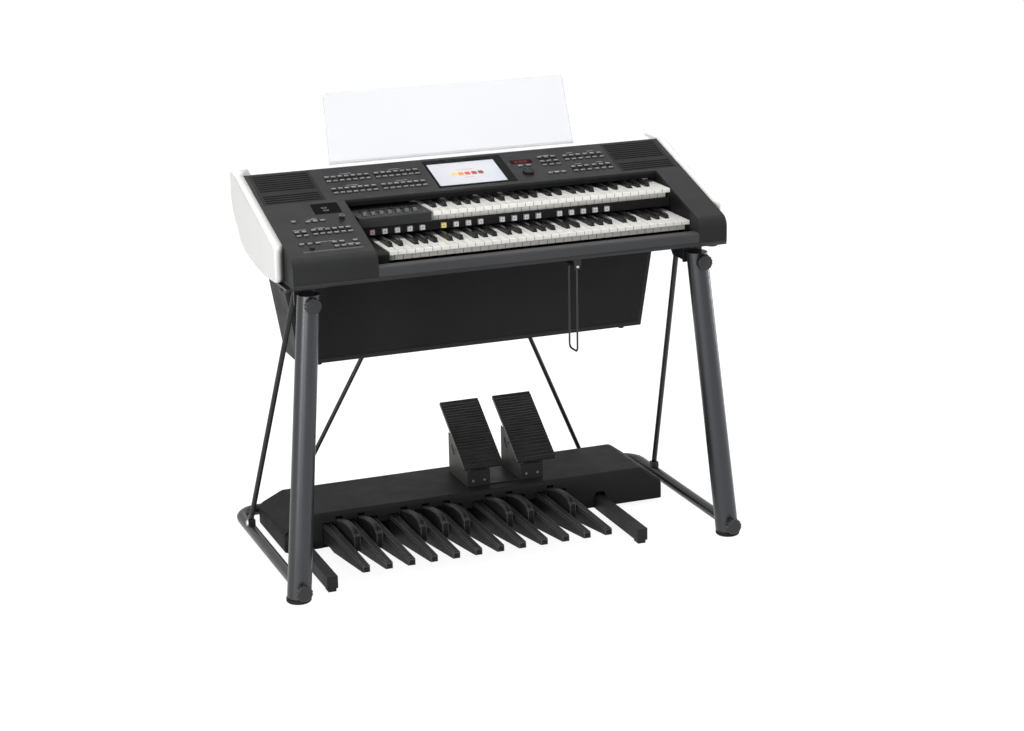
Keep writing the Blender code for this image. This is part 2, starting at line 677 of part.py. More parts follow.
def build_side_panel(materials, side, name):
    """A pale side panel that wraps round the rear corner of the console."""
    inner = CONSOLE_HALF - COVER_RETURN
    outer = CONSOLE_HALF + GAP + SIDE_THICKNESS
    bm = bmesh.new()
    rows = add_along_x(bm, side_profile(), side * inner, side * outer)
    rim = [bm.edges.get((a, b)) for a, b in zip(rows[1], rows[1][1:] + rows[1][:1])]
    bmesh.ops.bevel(bm, geom=rim, offset=0.006, segments=2, affect='EDGES', profile=0.5)
    panel = finish(name, bm, materials["shell"], smooth=True)
    x0, x1 = sorted((side * (inner - 0.010), side * (CONSOLE_HALF + GAP)))
    bm = bmesh.new()
    add_box(bm, x0, x1, FRONT_Y, PANEL_REAR_Y + GAP, CONSOLE_BASE_Z - 0.010, PANEL_REAR_Z + 0.020)
    shape_with(panel, bm, 'DIFFERENCE')
    bm = bmesh.new()
    add_box(bm, x0, x1, FRONT_Y, COVER_REAR_Y + 0.010, CONSOLE_BASE_Z - 0.010,
            CASE_FLOOR_Z + GAP)
    shape_with(panel, bm, 'DIFFERENCE')
    return panel


def key_notches(index, count):
    """Which sides of a natural make room for a sharp: the first note of a manual is a C."""
    note = index % 7
    left = note in (1, 2, 4, 5, 6)
    right = note in (0, 1, 3, 4, 5)
    return left, right and index < count - 1


def sharp_offset(index):
    """Sideways shift of the sharp that follows a natural, off the line between naturals."""
    return {0: -SHARP_SHIFT, 1: SHARP_SHIFT, 3: -SHARP_SHIFT, 4: 0.0, 5: SHARP_SHIFT}[index % 7]


def manual_left_x(count):
    return KEYS_RIGHT_X - count * KEY_PITCH


def add_natural(bm, x0, x1, front, top, notch_left, notch_right):
    """One white key: overhanging lip, body set back under it, waisted beside the sharps."""
    back = front + KEY_SWING_LENGTH
    shoulder = front + SHARP_FRONT - SHARP_SIDE_GAP
    reach = front + KEY_LIP_REACH
    deep = back - KEY_SHALLOW
    right = x1 if notch_right is None else notch_right
    left = x0 if notch_left is None else notch_left
    outline = [(x0, front), (x1, front), (x1, reach), (x1, shoulder), (right, shoulder),
               (right, deep), (right, back), (left, back), (left, deep), (left, shoulder),
               (x0, shoulder), (x0, reach)]
    tail = (6, 7)
    levels = (top, top - KEY_LIP, top - KEY_TAIL_DEPTH, top - KEY_DEPTH)
    rows = [[bm.verts.new((x, y, z)) for x, y in outline] for z in levels]
    upper, lip, waist, lower = rows
    count = len(outline)
    bm.faces.new(upper)
    bm.faces.new((lip[1], lip[0], lip[11], lip[2]))
    for index in range(count):
        after = (index + 1) % count
        bm.faces.new((upper[after], upper[index], lip[index], lip[after]))
    body = list(range(2, 12))
    for high, low in ((lip, waist), (waist, lower)):
        ring = body if high is lip else [index for index in body if index not in tail]
        for index, after in zip(ring, ring[1:] + ring[:1]):
            bm.faces.new((high[after], high[index], low[index], low[after]))
    bm.faces.new((waist[5], waist[6], waist[7], waist[8]))
    bm.faces.new([lower[index] for index in reversed(body) if index not in tail])
    spare = [lower[index] for index in tail] + [waist[0], waist[1], lower[0], lower[1]]
    bmesh.ops.delete(bm, geom=spare, context='VERTS')
    bmesh.ops.remove_doubles(bm, verts=[vert for row in rows for vert in row if vert.is_valid],
                             dist=0.00001)


def add_sharp(bm, centre, front, top):
    """One black key: sloping nose and sides that draw in towards the top."""
    start = front + SHARP_FRONT
    back = front + KEY_SWING_LENGTH - KEY_STRIP_DEPTH
    half = SHARP_WIDTH / 2.0
    top_half = SHARP_TOP_WIDTH / 2.0
    foot = top - KEY_DEPTH
    crown = top + SHARP_HEIGHT
    levels = ((foot, half, start), (top - 0.001, half, start), (crown, top_half, start + SHARP_SLOPE))
    rings = []
    for z, reach, nose in levels:
        rings.append([(centre - reach, nose, z), (centre + reach, nose, z),
                      (centre + reach, back, z), (centre - reach, back, z)])
    add_loft(bm, rings)


def build_manual(materials, prefix, count, front, top, axis_y):
    """The keys of one manual: whites joined by an upper tail strip, blacks by a lower one."""
    left = manual_left_x(count)
    axis = (0.0, axis_y, top - HINGE_DROP)
    whites = bmesh.new()
    blacks = bmesh.new()
    waist = SHARP_WIDTH / 2.0 + SHARP_SIDE_GAP
    for index in range(count):
        x0 = left + index * KEY_PITCH + KEY_SLOT / 2.0
        x1 = left + (index + 1) * KEY_PITCH - KEY_SLOT / 2.0
        on_left, on_right = key_notches(index, count)
        notch_left = None
        notch_right = None
        if on_left:
            notch_left = left + index * KEY_PITCH + sharp_offset(index - 1) + waist
        if on_right:
            centre = left + (index + 1) * KEY_PITCH + sharp_offset(index)
            notch_right = centre - waist
            add_sharp(blacks, centre, front, top)
        add_natural(whites, x0, x1, front, top, notch_left, notch_right)
    back = front + KEY_SWING_LENGTH
    x0 = left + KEY_SLOT / 2.0
    x1 = KEYS_RIGHT_X - KEY_SLOT / 2.0
    naturals = finish(prefix + "_naturals", whites, materials["natural"], axis)
    bm = bmesh.new()
    add_box(bm, x0 + 0.001, x1 - 0.001, back - 0.002, back + KEY_STRIP_DEPTH - 0.001,
            top - KEY_TAIL_DEPTH + 0.001, top - 0.002)
    shape_with(naturals, bm, 'UNION')
    sharps = finish(prefix + "_sharps", blacks, materials["sharp"], axis)
    bm = bmesh.new()
    add_box(bm, x0 + 0.004, x1 - 0.004, back - KEY_SHALLOW + 0.004, back + 0.004,
            top - KEY_DEPTH + 0.0005, top - KEY_TAIL_DEPTH - 0.0045)
    shape_with(sharps, bm, 'UNION')


def build_key_frames(materials):
    """Key beds: a tray with a guide rail, and a stepped wall that backs the tail strips."""
    back = KEY_Y + KEY_SWING_LENGTH
    wall = back + KEY_STRIP_DEPTH - 0.001 + GAP
    front = KEY_Y - 0.018
    floor = CASE_BOTTOM_Z + 0.004
    guide_y = KEY_Y + 0.038
    guide_z = LOWER_KEY_Z - KEY_DEPTH - 0.011
    ledge = LOWER_KEY_Z - KEY_DEPTH + 0.0005 - GAP
    crest = LOWER_KEY_Z - 0.003
    profile = [(front, CASE_BOTTOM_Z), (front, floor), (guide_y, floor), (guide_y, guide_z),
               (guide_y + 0.012, guide_z), (guide_y + 0.012, floor), (back + HINGE_SETBACK, floor),
               (back + HINGE_SETBACK, ledge), (wall, ledge),
               (wall, crest), (wall + 0.005, crest),
               (wall + 0.005, CASE_BOTTOM_Z)]
    bm = bmesh.new()
    add_along_x(bm, profile, WELL_LEFT + GAP, WELL_RIGHT - GAP)
    tray = finish("lower_key_frame", bm, materials["case"])
    bm = bmesh.new()
    add_along_x(bm, end_block_profile(), WELL_LEFT + GAP, manual_left_x(LOWER_NATURALS) - 0.0015)
    shape_with(tray, bm, 'UNION')
    back = UPPER_KEY_Y + KEY_SWING_LENGTH
    wall = back + KEY_STRIP_DEPTH - 0.001 + GAP
    under = FASCIA_BOTTOM_Z + 0.0005
    deck = under + 0.0035
    crest = UPPER_KEY_Z - 0.003
    ledge = UPPER_KEY_Z - KEY_DEPTH + 0.0005 - GAP
    start = FASCIA_Y + FASCIA_THICKNESS + 2.0 * REGISTRATION_TRAVEL + 2.0 * GAP
    guide_y = UPPER_KEY_Y + 0.045
    guide_z = UPPER_KEY_Z - KEY_DEPTH - 0.0105
    profile = [(start, under), (start, deck), (guide_y, deck), (guide_y, guide_z),
               (guide_y + 0.010, guide_z), (guide_y + 0.010, deck), (back + HINGE_SETBACK, deck),
               (back + HINGE_SETBACK, ledge), (wall, ledge),
               (wall, crest), (wall + 0.006, crest),
               (wall + 0.006, CASE_BOTTOM_Z), (wall, CASE_BOTTOM_Z),
               (wall, under)]
    bm = bmesh.new()
    add_along_x(bm, profile, manual_left_x(UPPER_NATURALS) - 0.0055, WELL_RIGHT - GAP)
    finish("upper_key_frame", bm, materials["case"])


def end_block_profile():
    """Side view of the block between the left cheek and the first key of the lower manual."""
    low = CASE_BOTTOM_Z + 0.001
    high = LOWER_KEY_Z - END_BLOCK_RISE
    front = KEY_Y - 0.006
    return [(front, low), (front, high - 0.004), (front + 0.004, high),
            (FASCIA_Y + 0.010, high), (FASCIA_Y + 0.010, low)]


def registration_columns():
    places = []
    for first, count in ((-331.0, 5), (-133.0, 4), (32.0, 4), (197.0, 5)):
        places += spread(first * STEP, REGISTRATION_PITCH, count)
    return places


def build_fascia(materials):
    """The strip between the manuals, pierced for the registration buttons."""
    bm = bmesh.new()
    add_box(bm, WELL_LEFT + GAP, WELL_RIGHT - GAP, FASCIA_Y, FASCIA_Y + FASCIA_THICKNESS,
            FASCIA_BOTTOM_Z, FASCIA_TOP_Z)
    fascia = finish("manual_fascia", bm, materials["case"])
    half = REGISTRATION_SIZE / 2.0 + SLIDE_GAP
    centre_z = FASCIA_TOP_Z - REGISTRATION_DROP
    bm = bmesh.new()
    for x in registration_columns():
        add_box(bm, x - half, x + half, FASCIA_Y - 0.01, FASCIA_Y + 0.02, centre_z - half,
                centre_z + half)
    shape_with(fascia, bm, 'DIFFERENCE')
    half = REGISTRATION_SIZE / 2.0
    front = FASCIA_Y - REGISTRATION_PROUD
    strip = FASCIA_Y + FASCIA_THICKNESS + GAP
    places = registration_columns()
    bm = bmesh.new()
    for x in places:
        add_box(bm, x - half, x + half, front, strip + 0.001, centre_z - half, centre_z + half)
    buttons = finish("registration_buttons", bm, materials["register"], (0.0, FASCIA_Y, centre_z))
    bm = bmesh.new()
    add_box(bm, min(places) - half, max(places) + half, strip, strip + CARRIER_THICKNESS,
            centre_z - 0.004, centre_z + 0.004)
    shape_with(buttons, bm, 'UNION')
    return fascia


def build_controller_block(materials):
    """The block left of the upper manual, with a row of faders on its top."""
    left = WELL_LEFT + 0.0080
    right = manual_left_x(UPPER_NATURALS) - 0.0055 - GAP
    top = UPPER_KEY_Z + 0.0007
    bottom = FASCIA_TOP_Z + 0.0010
    behind = FASCIA_Y + FASCIA_THICKNESS + 0.0060
    rear = DUST_Y - 0.001
    under = FASCIA_BOTTOM_Z + 0.0005
    profile = [(UPPER_KEY_Y, bottom), (UPPER_KEY_Y, top - 0.002), (UPPER_KEY_Y + 0.002, top),
               (rear, top), (rear, under), (behind, under), (behind, bottom)]
    bm = bmesh.new()
    add_along_x(bm, profile, left, right)
    block = finish("controller_block", bm, materials["case"])
    bm = bmesh.new()
    ledge = WELL_LEFT + GAP
    add_box(bm, ledge, left + 0.001, behind, rear, under, bottom)
    shape_with(block, bm, 'UNION')
    cap_half_x = 0.0055
    cap_half_y = 0.0090
    stem_half = 0.0015
    roof = 0.0030
    channel = 0.0120
    row_y = UPPER_KEY_Y + 0.0300
    places = spread(left + 24.0 * STEP, 23.0 * STEP, 7)
    bm = bmesh.new()
    reach = 0.004 + FADER_TRAVEL + SLIDE_GAP
    for x in places:
        add_box(bm, x - stem_half - SLIDE_GAP, x + stem_half + SLIDE_GAP, row_y - reach,
                row_y + reach, top - 2.0 * roof, top + 0.002)
    shape_with(block, bm, 'DIFFERENCE')
    bm = bmesh.new()
    reach = 0.005 + FADER_TRAVEL + SLIDE_GAP
    add_box(bm, places[0] - 0.006, places[-1] + 0.006, row_y - reach, row_y + reach,
            top - channel, top - roof)
    shape_with(block, bm, 'DIFFERENCE')
    bm = bmesh.new()
    for x in places:
        foot = top + GAP
        crown = top + 0.0085
        rings = [[(x - cap_half_x, row_y - cap_half_y, foot), (x + cap_half_x, row_y - cap_half_y, foot),
                  (x + cap_half_x, row_y + cap_half_y, foot), (x - cap_half_x, row_y + cap_half_y, foot)],
                 [(x - cap_half_x, row_y - 0.002, crown), (x + cap_half_x, row_y - 0.002, crown),
                  (x + cap_half_x, row_y + 0.006, crown), (x - cap_half_x, row_y + 0.006, crown)]]
        add_loft(bm, rings)
    faders = finish("controller_faders", bm, materials["button"], (0.0, row_y, top))
    bm = bmesh.new()
    for x in places:
        add_box(bm, x - stem_half, x + stem_half, row_y - 0.004, row_y + 0.004,
                top - roof - 0.004, top + 0.004)
    shape_with(faders, bm, 'UNION')
    bm = bmesh.new()
    add_box(bm, places[0] - 0.004, places[-1] + 0.004, row_y - 0.005, row_y + 0.005,
            top - roof - GAP - 0.005, top - roof - GAP)
    shape_with(faders, bm, 'UNION')
    return block


def build_panel_buttons(materials, name, clusters):
    """Small buttons on one thin carrier under the panel, sliding along the panel's normal."""
    half_x = SMALL_BUTTON[0] / 2.0
    half_s = SMALL_BUTTON[1] / 2.0
    ceiling = -PANEL_SKIN - GAP
    bm = bmesh.new()
    for places, rows in clusters:
        for x in places:
            for s in rows:
                add_box(bm, x - half_x, x + half_x, s - half_s, s + half_s,
                        ceiling - CARRIER_THICKNESS / 2.0, BUTTON_PROUD, PANEL_FRAME)
    buttons = finish(name, bm, materials["button"], PANEL_FRAME.translation, PANEL_PITCH)
    pockets = [cluster_pocket(cluster) for cluster in clusters]
    bm = bmesh.new()
    add_box(bm, min(pocket[0] for pocket in pockets) - CARRIER_MARGIN,
            max(pocket[1] for pocket in pockets) + CARRIER_MARGIN,
            min(pocket[2] for pocket in pockets) - CARRIER_MARGIN,
            max(pocket[3] for pocket in pockets) + CARRIER_MARGIN,
            ceiling - CARRIER_THICKNESS, ceiling, PANEL_FRAME)
    shape_with(buttons, bm, 'UNION')
    return buttons


def build_turning_knob(materials, name, place, profile, sides):
    """A knob that turns about the panel's normal, with a flat that shows its angle."""
    origin = PANEL_FRAME @ Vector((place[0], place[1], 0.0))
    frame = PANEL_FRAME @ Matrix.Translation((place[0], place[1], GAP))
    bm = bmesh.new()
    add_turned(bm, profile, sides, frame)
    return finish(name, bm, materials["knob"], origin, PANEL_PITCH, smooth=True)


def build_controls(materials):
    build_panel_buttons(materials, "voice_buttons", VOICE_CLUSTERS)
    build_panel_buttons(materials, "function_buttons", FUNCTION_CLUSTERS)
    build_panel_buttons(materials, "block_buttons", BLOCK_CLUSTERS)
    dimple = 0.0010
    build_turning_knob(materials, "data_dial", DIAL_PLACE,
                       ((DIAL_RADIUS, 0.0), (DIAL_RADIUS, DIAL_HEIGHT - 0.0015),
                        (DIAL_RADIUS - 0.0015, DIAL_HEIGHT), (DIAL_RADIUS - 0.0045, DIAL_HEIGHT),
                        (DIAL_RADIUS - 0.0060, DIAL_HEIGHT - dimple)), 24)
    build_turning_knob(materials, "volume_knob", VOLUME_PLACE,
                       ((VOLUME_RADIUS, 0.0), (VOLUME_RADIUS, 0.002), (0.0065, 0.003),
                        (0.0060, VOLUME_HEIGHT - 0.001), (0.0050, VOLUME_HEIGHT)), 14)
    build_turning_knob(materials, "trim_knob", TRIM_PLACE,
                       ((TRIM_RADIUS, 0.0), (TRIM_RADIUS - 0.001, TRIM_HEIGHT)), 14)


def build_display(materials):
    """The screen in its raised surround, and the small number window beside it."""
    bm = bmesh.new()
    add_box(bm, BEZEL[0] + GAP, BEZEL[1] - GAP, BEZEL[2] + GAP, BEZEL[3] - GAP, -PANEL_SKIN, 0.0010,
            PANEL_FRAME)
    bezel = finish("display_bezel", bm, materials["knob"])
    bm = bmesh.new()
    add_box(bm, *SCREEN_WINDOW, -0.010, 0.010, PANEL_FRAME)
    shape_with(bezel, bm, 'DIFFERENCE')
    inset = SCREEN_WINDOW
    bm = bmesh.new()
    add_box(bm, inset[0] + GAP, inset[1] - GAP, inset[2] + GAP, inset[3] - GAP, -PANEL_SKIN,
            -0.0010, PANEL_FRAME)
    finish("display_screen", bm, materials["screen"])
    window = NUMBER_WINDOW
    bm = bmesh.new()
    add_box(bm, window[0] + GAP, window[1] - GAP, window[2] + GAP, window[3] - GAP, -PANEL_SKIN,
            -0.0006, PANEL_FRAME)
    finish("number_window", bm, materials["window"])


def build_music_rest(materials):
    """A clear pane that stands in the groove of the rear cover and leans back."""
    frame = rest_frame()
    foot = -REST_FOOT + GAP
    corner = REST_CORNER
    top = REST_HEIGHT
    slope = (REST_HALF_BOTTOM - REST_HALF_TOP) / REST_HEIGHT
    edge = REST_HALF_TOP + slope * corner
    left_corner = [(-x, z) for x, z in
                   arc(REST_HALF_TOP - corner, top - corner, corner, 0.0, pi / 2.0, 4)]
    right_corner = arc(REST_HALF_TOP - corner, top - corner, corner, 0.0, pi / 2.0, 4)
    outline = [(-REST_HALF_BOTTOM, foot), (REST_HALF_BOTTOM, foot), (edge, top - corner)]
    outline += right_corner[1:] + left_corner[::-1][:-1] + [(-edge, top - corner)]
    half = REST_THICKNESS / 2.0
    bm = bmesh.new()
    add_loft(bm, [[frame @ Vector((x, y, z)) for x, z in outline] for y in (-half, half)])
    return finish("music_rest", bm, materials["acrylic"], frame.translation, -REST_LEAN)


def trapezium(inset, z0, z1):
    """Outline of the speaker cabinet in (x, z), moved inwards by inset."""
    base = CONSOLE_BASE_Z - GAP - CABINET_HEIGHT
    run = CABINET_FLARE / CABINET_HEIGHT
    half0 = CABINET_HALF_BOTTOM + run * (z0 - base) - inset
    half1 = CABINET_HALF_BOTTOM + run * (z1 - base) - inset
    return [(-half0, z0), (half0, z0), (half1, z1), (-half1, z1)]


def build_speaker_cabinet(materials):
    """The cabinet that hangs under the console: carcass, baffle, cloth front and woofer."""
    low = CONSOLE_BASE_Z - GAP - CABINET_HEIGHT
    high = CONSOLE_BASE_Z - GAP
    bm = bmesh.new()
    add_along_y(bm, trapezium(0.0, low, high), CABINET_Y, CABINET_Y + CABINET_DEPTH)
    cabinet = finish("speaker_cabinet", bm, materials["board"])
    bm = bmesh.new()
    inside = trapezium(CABINET_BOARD, low + CABINET_BOARD, high - CABINET_BOARD)
    add_along_y(bm, inside, CABINET_Y - 0.010, CABINET_Y + CABINET_DEPTH - CABINET_BOARD)
    shape_with(cabinet, bm, 'DIFFERENCE')
    inset = CABINET_BOARD + GAP
    panel = trapezium(inset, low + inset, high - inset)
    bm = bmesh.new()
    add_along_y(bm, panel, CABINET_Y + 0.001, CABINET_Y + 0.001 + CLOTH_THICKNESS)
    finish("speaker_cloth", bm, materials["cloth"])
    baffle_y = CABINET_Y + 0.001 + CLOTH_THICKNESS + GAP
    bm = bmesh.new()
    add_along_y(bm, panel, baffle_y, baffle_y + BAFFLE_THICKNESS)
    baffle = finish("speaker_baffle", bm, materials["board"])
    middle = (low + high) / 2.0
    bm = bmesh.new()
    for side in (-1.0, 1.0):
        place = facing((0.0, 1.0, 0.0), (side * 0.22, baffle_y - 0.01, middle))
        add_turned(bm, ((WOOFER_RADIUS - 0.008, 0.0), (WOOFER_RADIUS - 0.008, 0.04)), 24, place)
    shape_with(baffle, bm, 'DIFFERENCE')
    for side, name in ((-1.0, "left_woofer"), (1.0, "right_woofer")):
        place = facing((0.0, 1.0, 0.0), (side * 0.22, baffle_y + BAFFLE_THICKNESS + GAP, middle))
        bm = bmesh.new()
        add_turned(bm, ((0.030, 0.022), (WOOFER_RADIUS - 0.010, 0.001), (WOOFER_RADIUS, 0.0),
                        (WOOFER_RADIUS, 0.004), (0.045, 0.032), (0.045, WOOFER_DEPTH)), 20, place)
        finish(name, bm, materials["cone"], smooth=True)
    bm = bmesh.new()
    for side in (-1.0, 1.0):
        for y in (CABINET_Y + 0.015, CABINET_Y + CABINET_DEPTH - 0.015):
            foot = (side * (CABINET_HALF_BOTTOM - 0.055), y, low - CABINET_FOOT_HEIGHT)
            add_turned(bm, ((CABINET_FOOT_RADIUS - 0.001, 0.0), (CABINET_FOOT_RADIUS, 0.001),
                            (CABINET_FOOT_RADIUS, CABINET_FOOT_HEIGHT + 0.002)), 10,
                       Matrix.Translation(foot))
    shape_with(cabinet, bm, 'UNION')
    return cabinet


def leg_centre(side, z):
    """Middle of a leg at height z."""
    share = z / LEG_TOP_Z
    return (side * (LEG_FOOT_X + (LEG_TOP_X - LEG_FOOT_X) * share),
            KEY_Y + LEG_FOOT_Y + (LEG_TOP_Y - LEG_FOOT_Y) * share, z)


def leg_radius(z):
    return LEG_FOOT_RADIUS + (LEG_TOP_RADIUS - LEG_FOOT_RADIUS) * z / LEG_TOP_Z


def build_legs(materials):
    for side, name in ((-1.0, "left_leg"), (1.0, "right_leg")):
        bm = bmesh.new()
        low = CAP_HEIGHT + GAP
        add_leaning_rod(bm, leg_centre(side, low), leg_centre(side, LEG_TOP_Z), leg_radius(low),
                        LEG_TOP_RADIUS, LEG_SIDES)
        finish(name, bm, materials["leg"], smooth=True)
        foot = leg_centre(side, 0.0)
        rim = LEG_FOOT_RADIUS + CAP_OVERHANG
        bm = bmesh.new()
        add_turned(bm, ((rim - 0.003, 0.0), (rim, 0.003), (rim, CAP_HEIGHT)), LEG_SIDES,
                   Matrix.Translation(foot))
        finish(name + "_foot", bm, materials["rubber"], smooth=True)


def bar_x():
    return leg_centre(1.0, BAR_Z)[0]


def build_floor_frame(materials):
    """The U-shaped floor tube behind the legs, with lugs for the struts and braces."""
    x = bar_x()
    top_of_tube = BAR_Z + BAR_RADIUS
    front = leg_centre(1.0, top_of_tube)[1] + leg_radius(BAR_Z) + GAP
    rear = KEY_Y + BAR_REAR
    bend = rear - BAR_BEND
    path = [(-x, front), (-x, bend)]
    path += arc(-x + BAR_BEND, bend, BAR_BEND, pi, pi / 2.0, 5)[1:-1]
    path += [(-x + BAR_BEND, rear), (x - BAR_BEND, rear)]
    path += arc(x - BAR_BEND, bend, BAR_BEND, pi / 2.0, 0.0, 5)[1:-1]
    path += [(x, bend), (x, front)]
    bm = bmesh.new()
    add_sweep(bm, [(a, b, BAR_Z) for a, b in path], BAR_RADIUS, 12)
    frame = finish("floor_frame", bm, materials["tube"], smooth=True)
    half = LUG_SIZE / 2.0
    for side in (-1.0, 1.0):
        for lug_x, lug_y in ((side * x, KEY_Y + STRUT_FOOT_Y), (side * BRACE_FOOT_X, rear)):
            bm = bmesh.new()
            add_box(bm, lug_x - half, lug_x + half, lug_y - half, lug_y + half,
                    BAR_Z, top_of_tube + LUG_HEIGHT)
            shape_with(frame, bm, 'UNION')
    bm = bmesh.new()
    for side in (-1.0, 1.0):
        place = Matrix.Translation((side * REAR_FOOT_X, rear, 0.0))
        add_turned(bm, ((REAR_FOOT_RADIUS, 0.0), (REAR_FOOT_RADIUS - 0.002, BAR_Z - BAR_RADIUS + 0.004)),
                   14, place)
    shape_with(frame, bm, 'UNION')
    return frame


def strut_top_x():
    """The struts hang on the outer faces of the bracket webs."""
    return web_outer_x() + GAP + STRUT_RADIUS


def web_outer_x():
    return LEG_TOP_X - 0.0090


def build_struts(materials):
    """The side struts, and the pair of rear braces on their plate behind the cabinet."""
    foot_z = BAR_Z + BAR_RADIUS + LUG_HEIGHT + GAP
    for side, name in ((-1.0, "left_strut"), (1.0, "right_strut")):
        foot = (side * bar_x(), KEY_Y + STRUT_FOOT_Y, foot_z)
        top = (side * strut_top_x(), KEY_Y + STRUT_TOP_Y, STRUT_TOP_Z)
        bm = bmesh.new()
        add_leaning_rod(bm, foot, top, STRUT_RADIUS, STRUT_RADIUS, 12)
        finish(name, bm, materials["tube"], smooth=True)
    bm = bmesh.new()
    add_box(bm, -BRACE_TOP_X - 0.030, BRACE_TOP_X + 0.030, brace_plate_y(),
            brace_plate_y() + BRACKET_PLATE, BRACE_TOP_Z - 0.030, CONSOLE_BASE_Z - GAP)
    brace = finish("rear_brace", bm, materials["tube"])
    bm = bmesh.new()
    for side in (-1.0, 1.0):
        foot = (side * BRACE_FOOT_X, KEY_Y + BAR_REAR, foot_z)
        top = (side * BRACE_TOP_X, brace_top_y(), BRACE_TOP_Z)
        add_leaning_rod(bm, foot, top, BRACE_RADIUS, BRACE_RADIUS, 12)
    shape_with(brace, bm, 'UNION')


def brace_plate_y():
    return CABINET_Y + CABINET_DEPTH + GAP


def brace_top_y():
    return brace_plate_y() + BRACKET_PLATE + BRACE_RADIUS * 0.6


def build_brackets(materials):
    """Steel plates that tie the legs, struts and braces to the console."""
    top = CONSOLE_BASE_Z - GAP
    plate = top - BRACKET_PLATE
    cross_y = leg_centre(1.0, LEG_TOP_Z)[1] + LEG_TOP_RADIUS + GAP
    cross_back = cross_y + BRACKET_PLATE
    bottom = plate - BRACKET_DROP
    for side, name in ((-1.0, "left_bracket"), (1.0, "right_bracket")):
        x0, x1 = sorted((side * BRACKET_INNER_X, side * BRACKET_OUTER_X))
        bm = bmesh.new()
        add_box(bm, x0, x1, KEY_Y - 0.030, KEY_Y + BRACKET_REACH, plate, top)
        bracket = finish(name, bm, materials["tube"])
        web0, web1 = sorted((side * web_outer_x(), side * (web_outer_x() - BRACKET_PLATE)))
        bm = bmesh.new()
        outline = [(cross_y, bottom), (cross_y, plate + 0.001),
                   (KEY_Y + BRACKET_REACH, plate + 0.001), (KEY_Y + BRACKET_REACH, bottom + 0.018),
                   (KEY_Y + BRACKET_REACH - 0.018, bottom)]
        add_along_x(bm, outline, web0, web1)
        shape_with(bracket, bm, 'UNION')
        leg_x = leg_centre(1.0, KNOB_Z)[0]
        c0, c1 = sorted((side * (leg_x - 0.028), side * (leg_x + 0.028)))
        bm = bmesh.new()
        add_box(bm, c0, c1, cross_y, cross_back, bottom, plate + 0.001)
        shape_with(bracket, bm, 'UNION')


def lobed_profile(radius, length):
    return ((radius * 0.55, 0.0), (radius * 0.55, 0.003), (radius, 0.005),
            (radius, length - 0.002), (radius - 0.002, length))


def build_leg_knobs(materials):
    """Hand knobs that clamp each leg to its bracket above and to the floor frame below."""
    for side, hand in ((-1.0, "left"), (1.0, "right")):
        for z, level in ((KNOB_Z, "upper"), (BAR_Z, "lower")):
            centre = leg_centre(side, z)
            seat = (centre[0], centre[1] - leg_radius(z) - 0.0009, z)
            bm = bmesh.new()
            add_turned(bm, lobed_profile(KNOB_RADIUS, KNOB_LENGTH), 14,
                       facing((0.0, -1.0, 0.0), seat))
            finish(hand + "_" + level + "_knob", bm, materials["knob"], smooth=True)


def build_knee_lever(materials):
    """The wire loop that the knee pushes aside, on a bracket under the console."""
    top = CONSOLE_BASE_Z - GAP
    axis_z = CONSOLE_BASE_Z - KNEE_AXIS_DROP
    centre_y = KEY_Y + KNEE_Y
    half_x = KNEE_BRACKET[0] / 2.0
    half_y = KNEE_BRACKET[1] / 2.0
    bm = bmesh.new()
    add_box(bm, KNEE_X - half_x, KNEE_X + half_x, centre_y - half_y, centre_y + half_y,
            top - KNEE_PLATE, top)
    bracket = finish("knee_bracket", bm, materials["tube"])
    inner = KNEE_SPREAD / 2.0 + KNEE_WIRE + GAP
    for side in (-1.0, 1.0):
        y0, y1 = sorted((centre_y + side * inner, centre_y + side * (inner + 0.003)))
        bm = bmesh.new()
        ear = [(KNEE_X - 0.012, top - 0.003), (KNEE_X - 0.008, axis_z - 0.007),
               (KNEE_X + 0.008, axis_z - 0.007), (KNEE_X + 0.012, top - 0.003)]
        add_along_y(bm, ear, y0, y1)
        shape_with(bracket, bm, 'UNION')
    half = KNEE_SPREAD / 2.0
    low = axis_z - KNEE_DROP
    rear = centre_y + half
    front = centre_y - half
    path = [(front + KNEE_BEND, axis_z), (front, axis_z - KNEE_BEND)]
    path += [(front, low + KNEE_BEND)]
    path += arc(front + KNEE_BEND, low + KNEE_BEND, KNEE_BEND, pi, 1.5 * pi, 3)[1:]
    path += arc(rear - KNEE_BEND, low + KNEE_BEND, KNEE_BEND, -pi / 2.0, 0.0, 3)
    path += [(rear, axis_z - KNEE_BEND), (rear - KNEE_BEND, axis_z)]
    bm = bmesh.new()
    add_sweep(bm, [(KNEE_X, y, z) for y, z in path], KNEE_WIRE, 8)
    lever = finish("knee_lever", bm, materials["tube"], (KNEE_X, centre_y, axis_z), smooth=True)
    bm = bmesh.new()
    place = facing((0.0, 1.0, 0.0), (KNEE_X, centre_y - inner + 0.0006, axis_z))
    add_turned(bm, ((0.0060, 0.0), (0.0060, 2.0 * inner - 0.0012)), 12, place)
    shape_with(lever, bm, 'UNION')
    return lever


def pedal_case_rings(inset, base):
    """Level outlines of the pedal case: upright walls, then shoulders that draw in."""
    rings = []
    levels = ((base, PEDAL_CASE_HALF, PEDAL_CASE_DEPTH),
              (PEDAL_CASE_SHOULDER_Z, PEDAL_CASE_HALF, PEDAL_CASE_DEPTH),
              (PEDAL_CASE_TOP_Z - inset, PEDAL_CASE_TOP_HALF, PEDAL_CASE_TOP_DEPTH))
    for z, half, depth in levels:
        front = PEDAL_CASE_Y + inset
        rear = PEDAL_CASE_Y + depth - inset
        half -= inset
        rings.append([(-half, front, z), (half, front, z), (half, rear, z), (-half, rear, z)])
    return rings


def pedal_x(index):
    return PEDAL_FIRST_X + index * PEDAL_PITCH


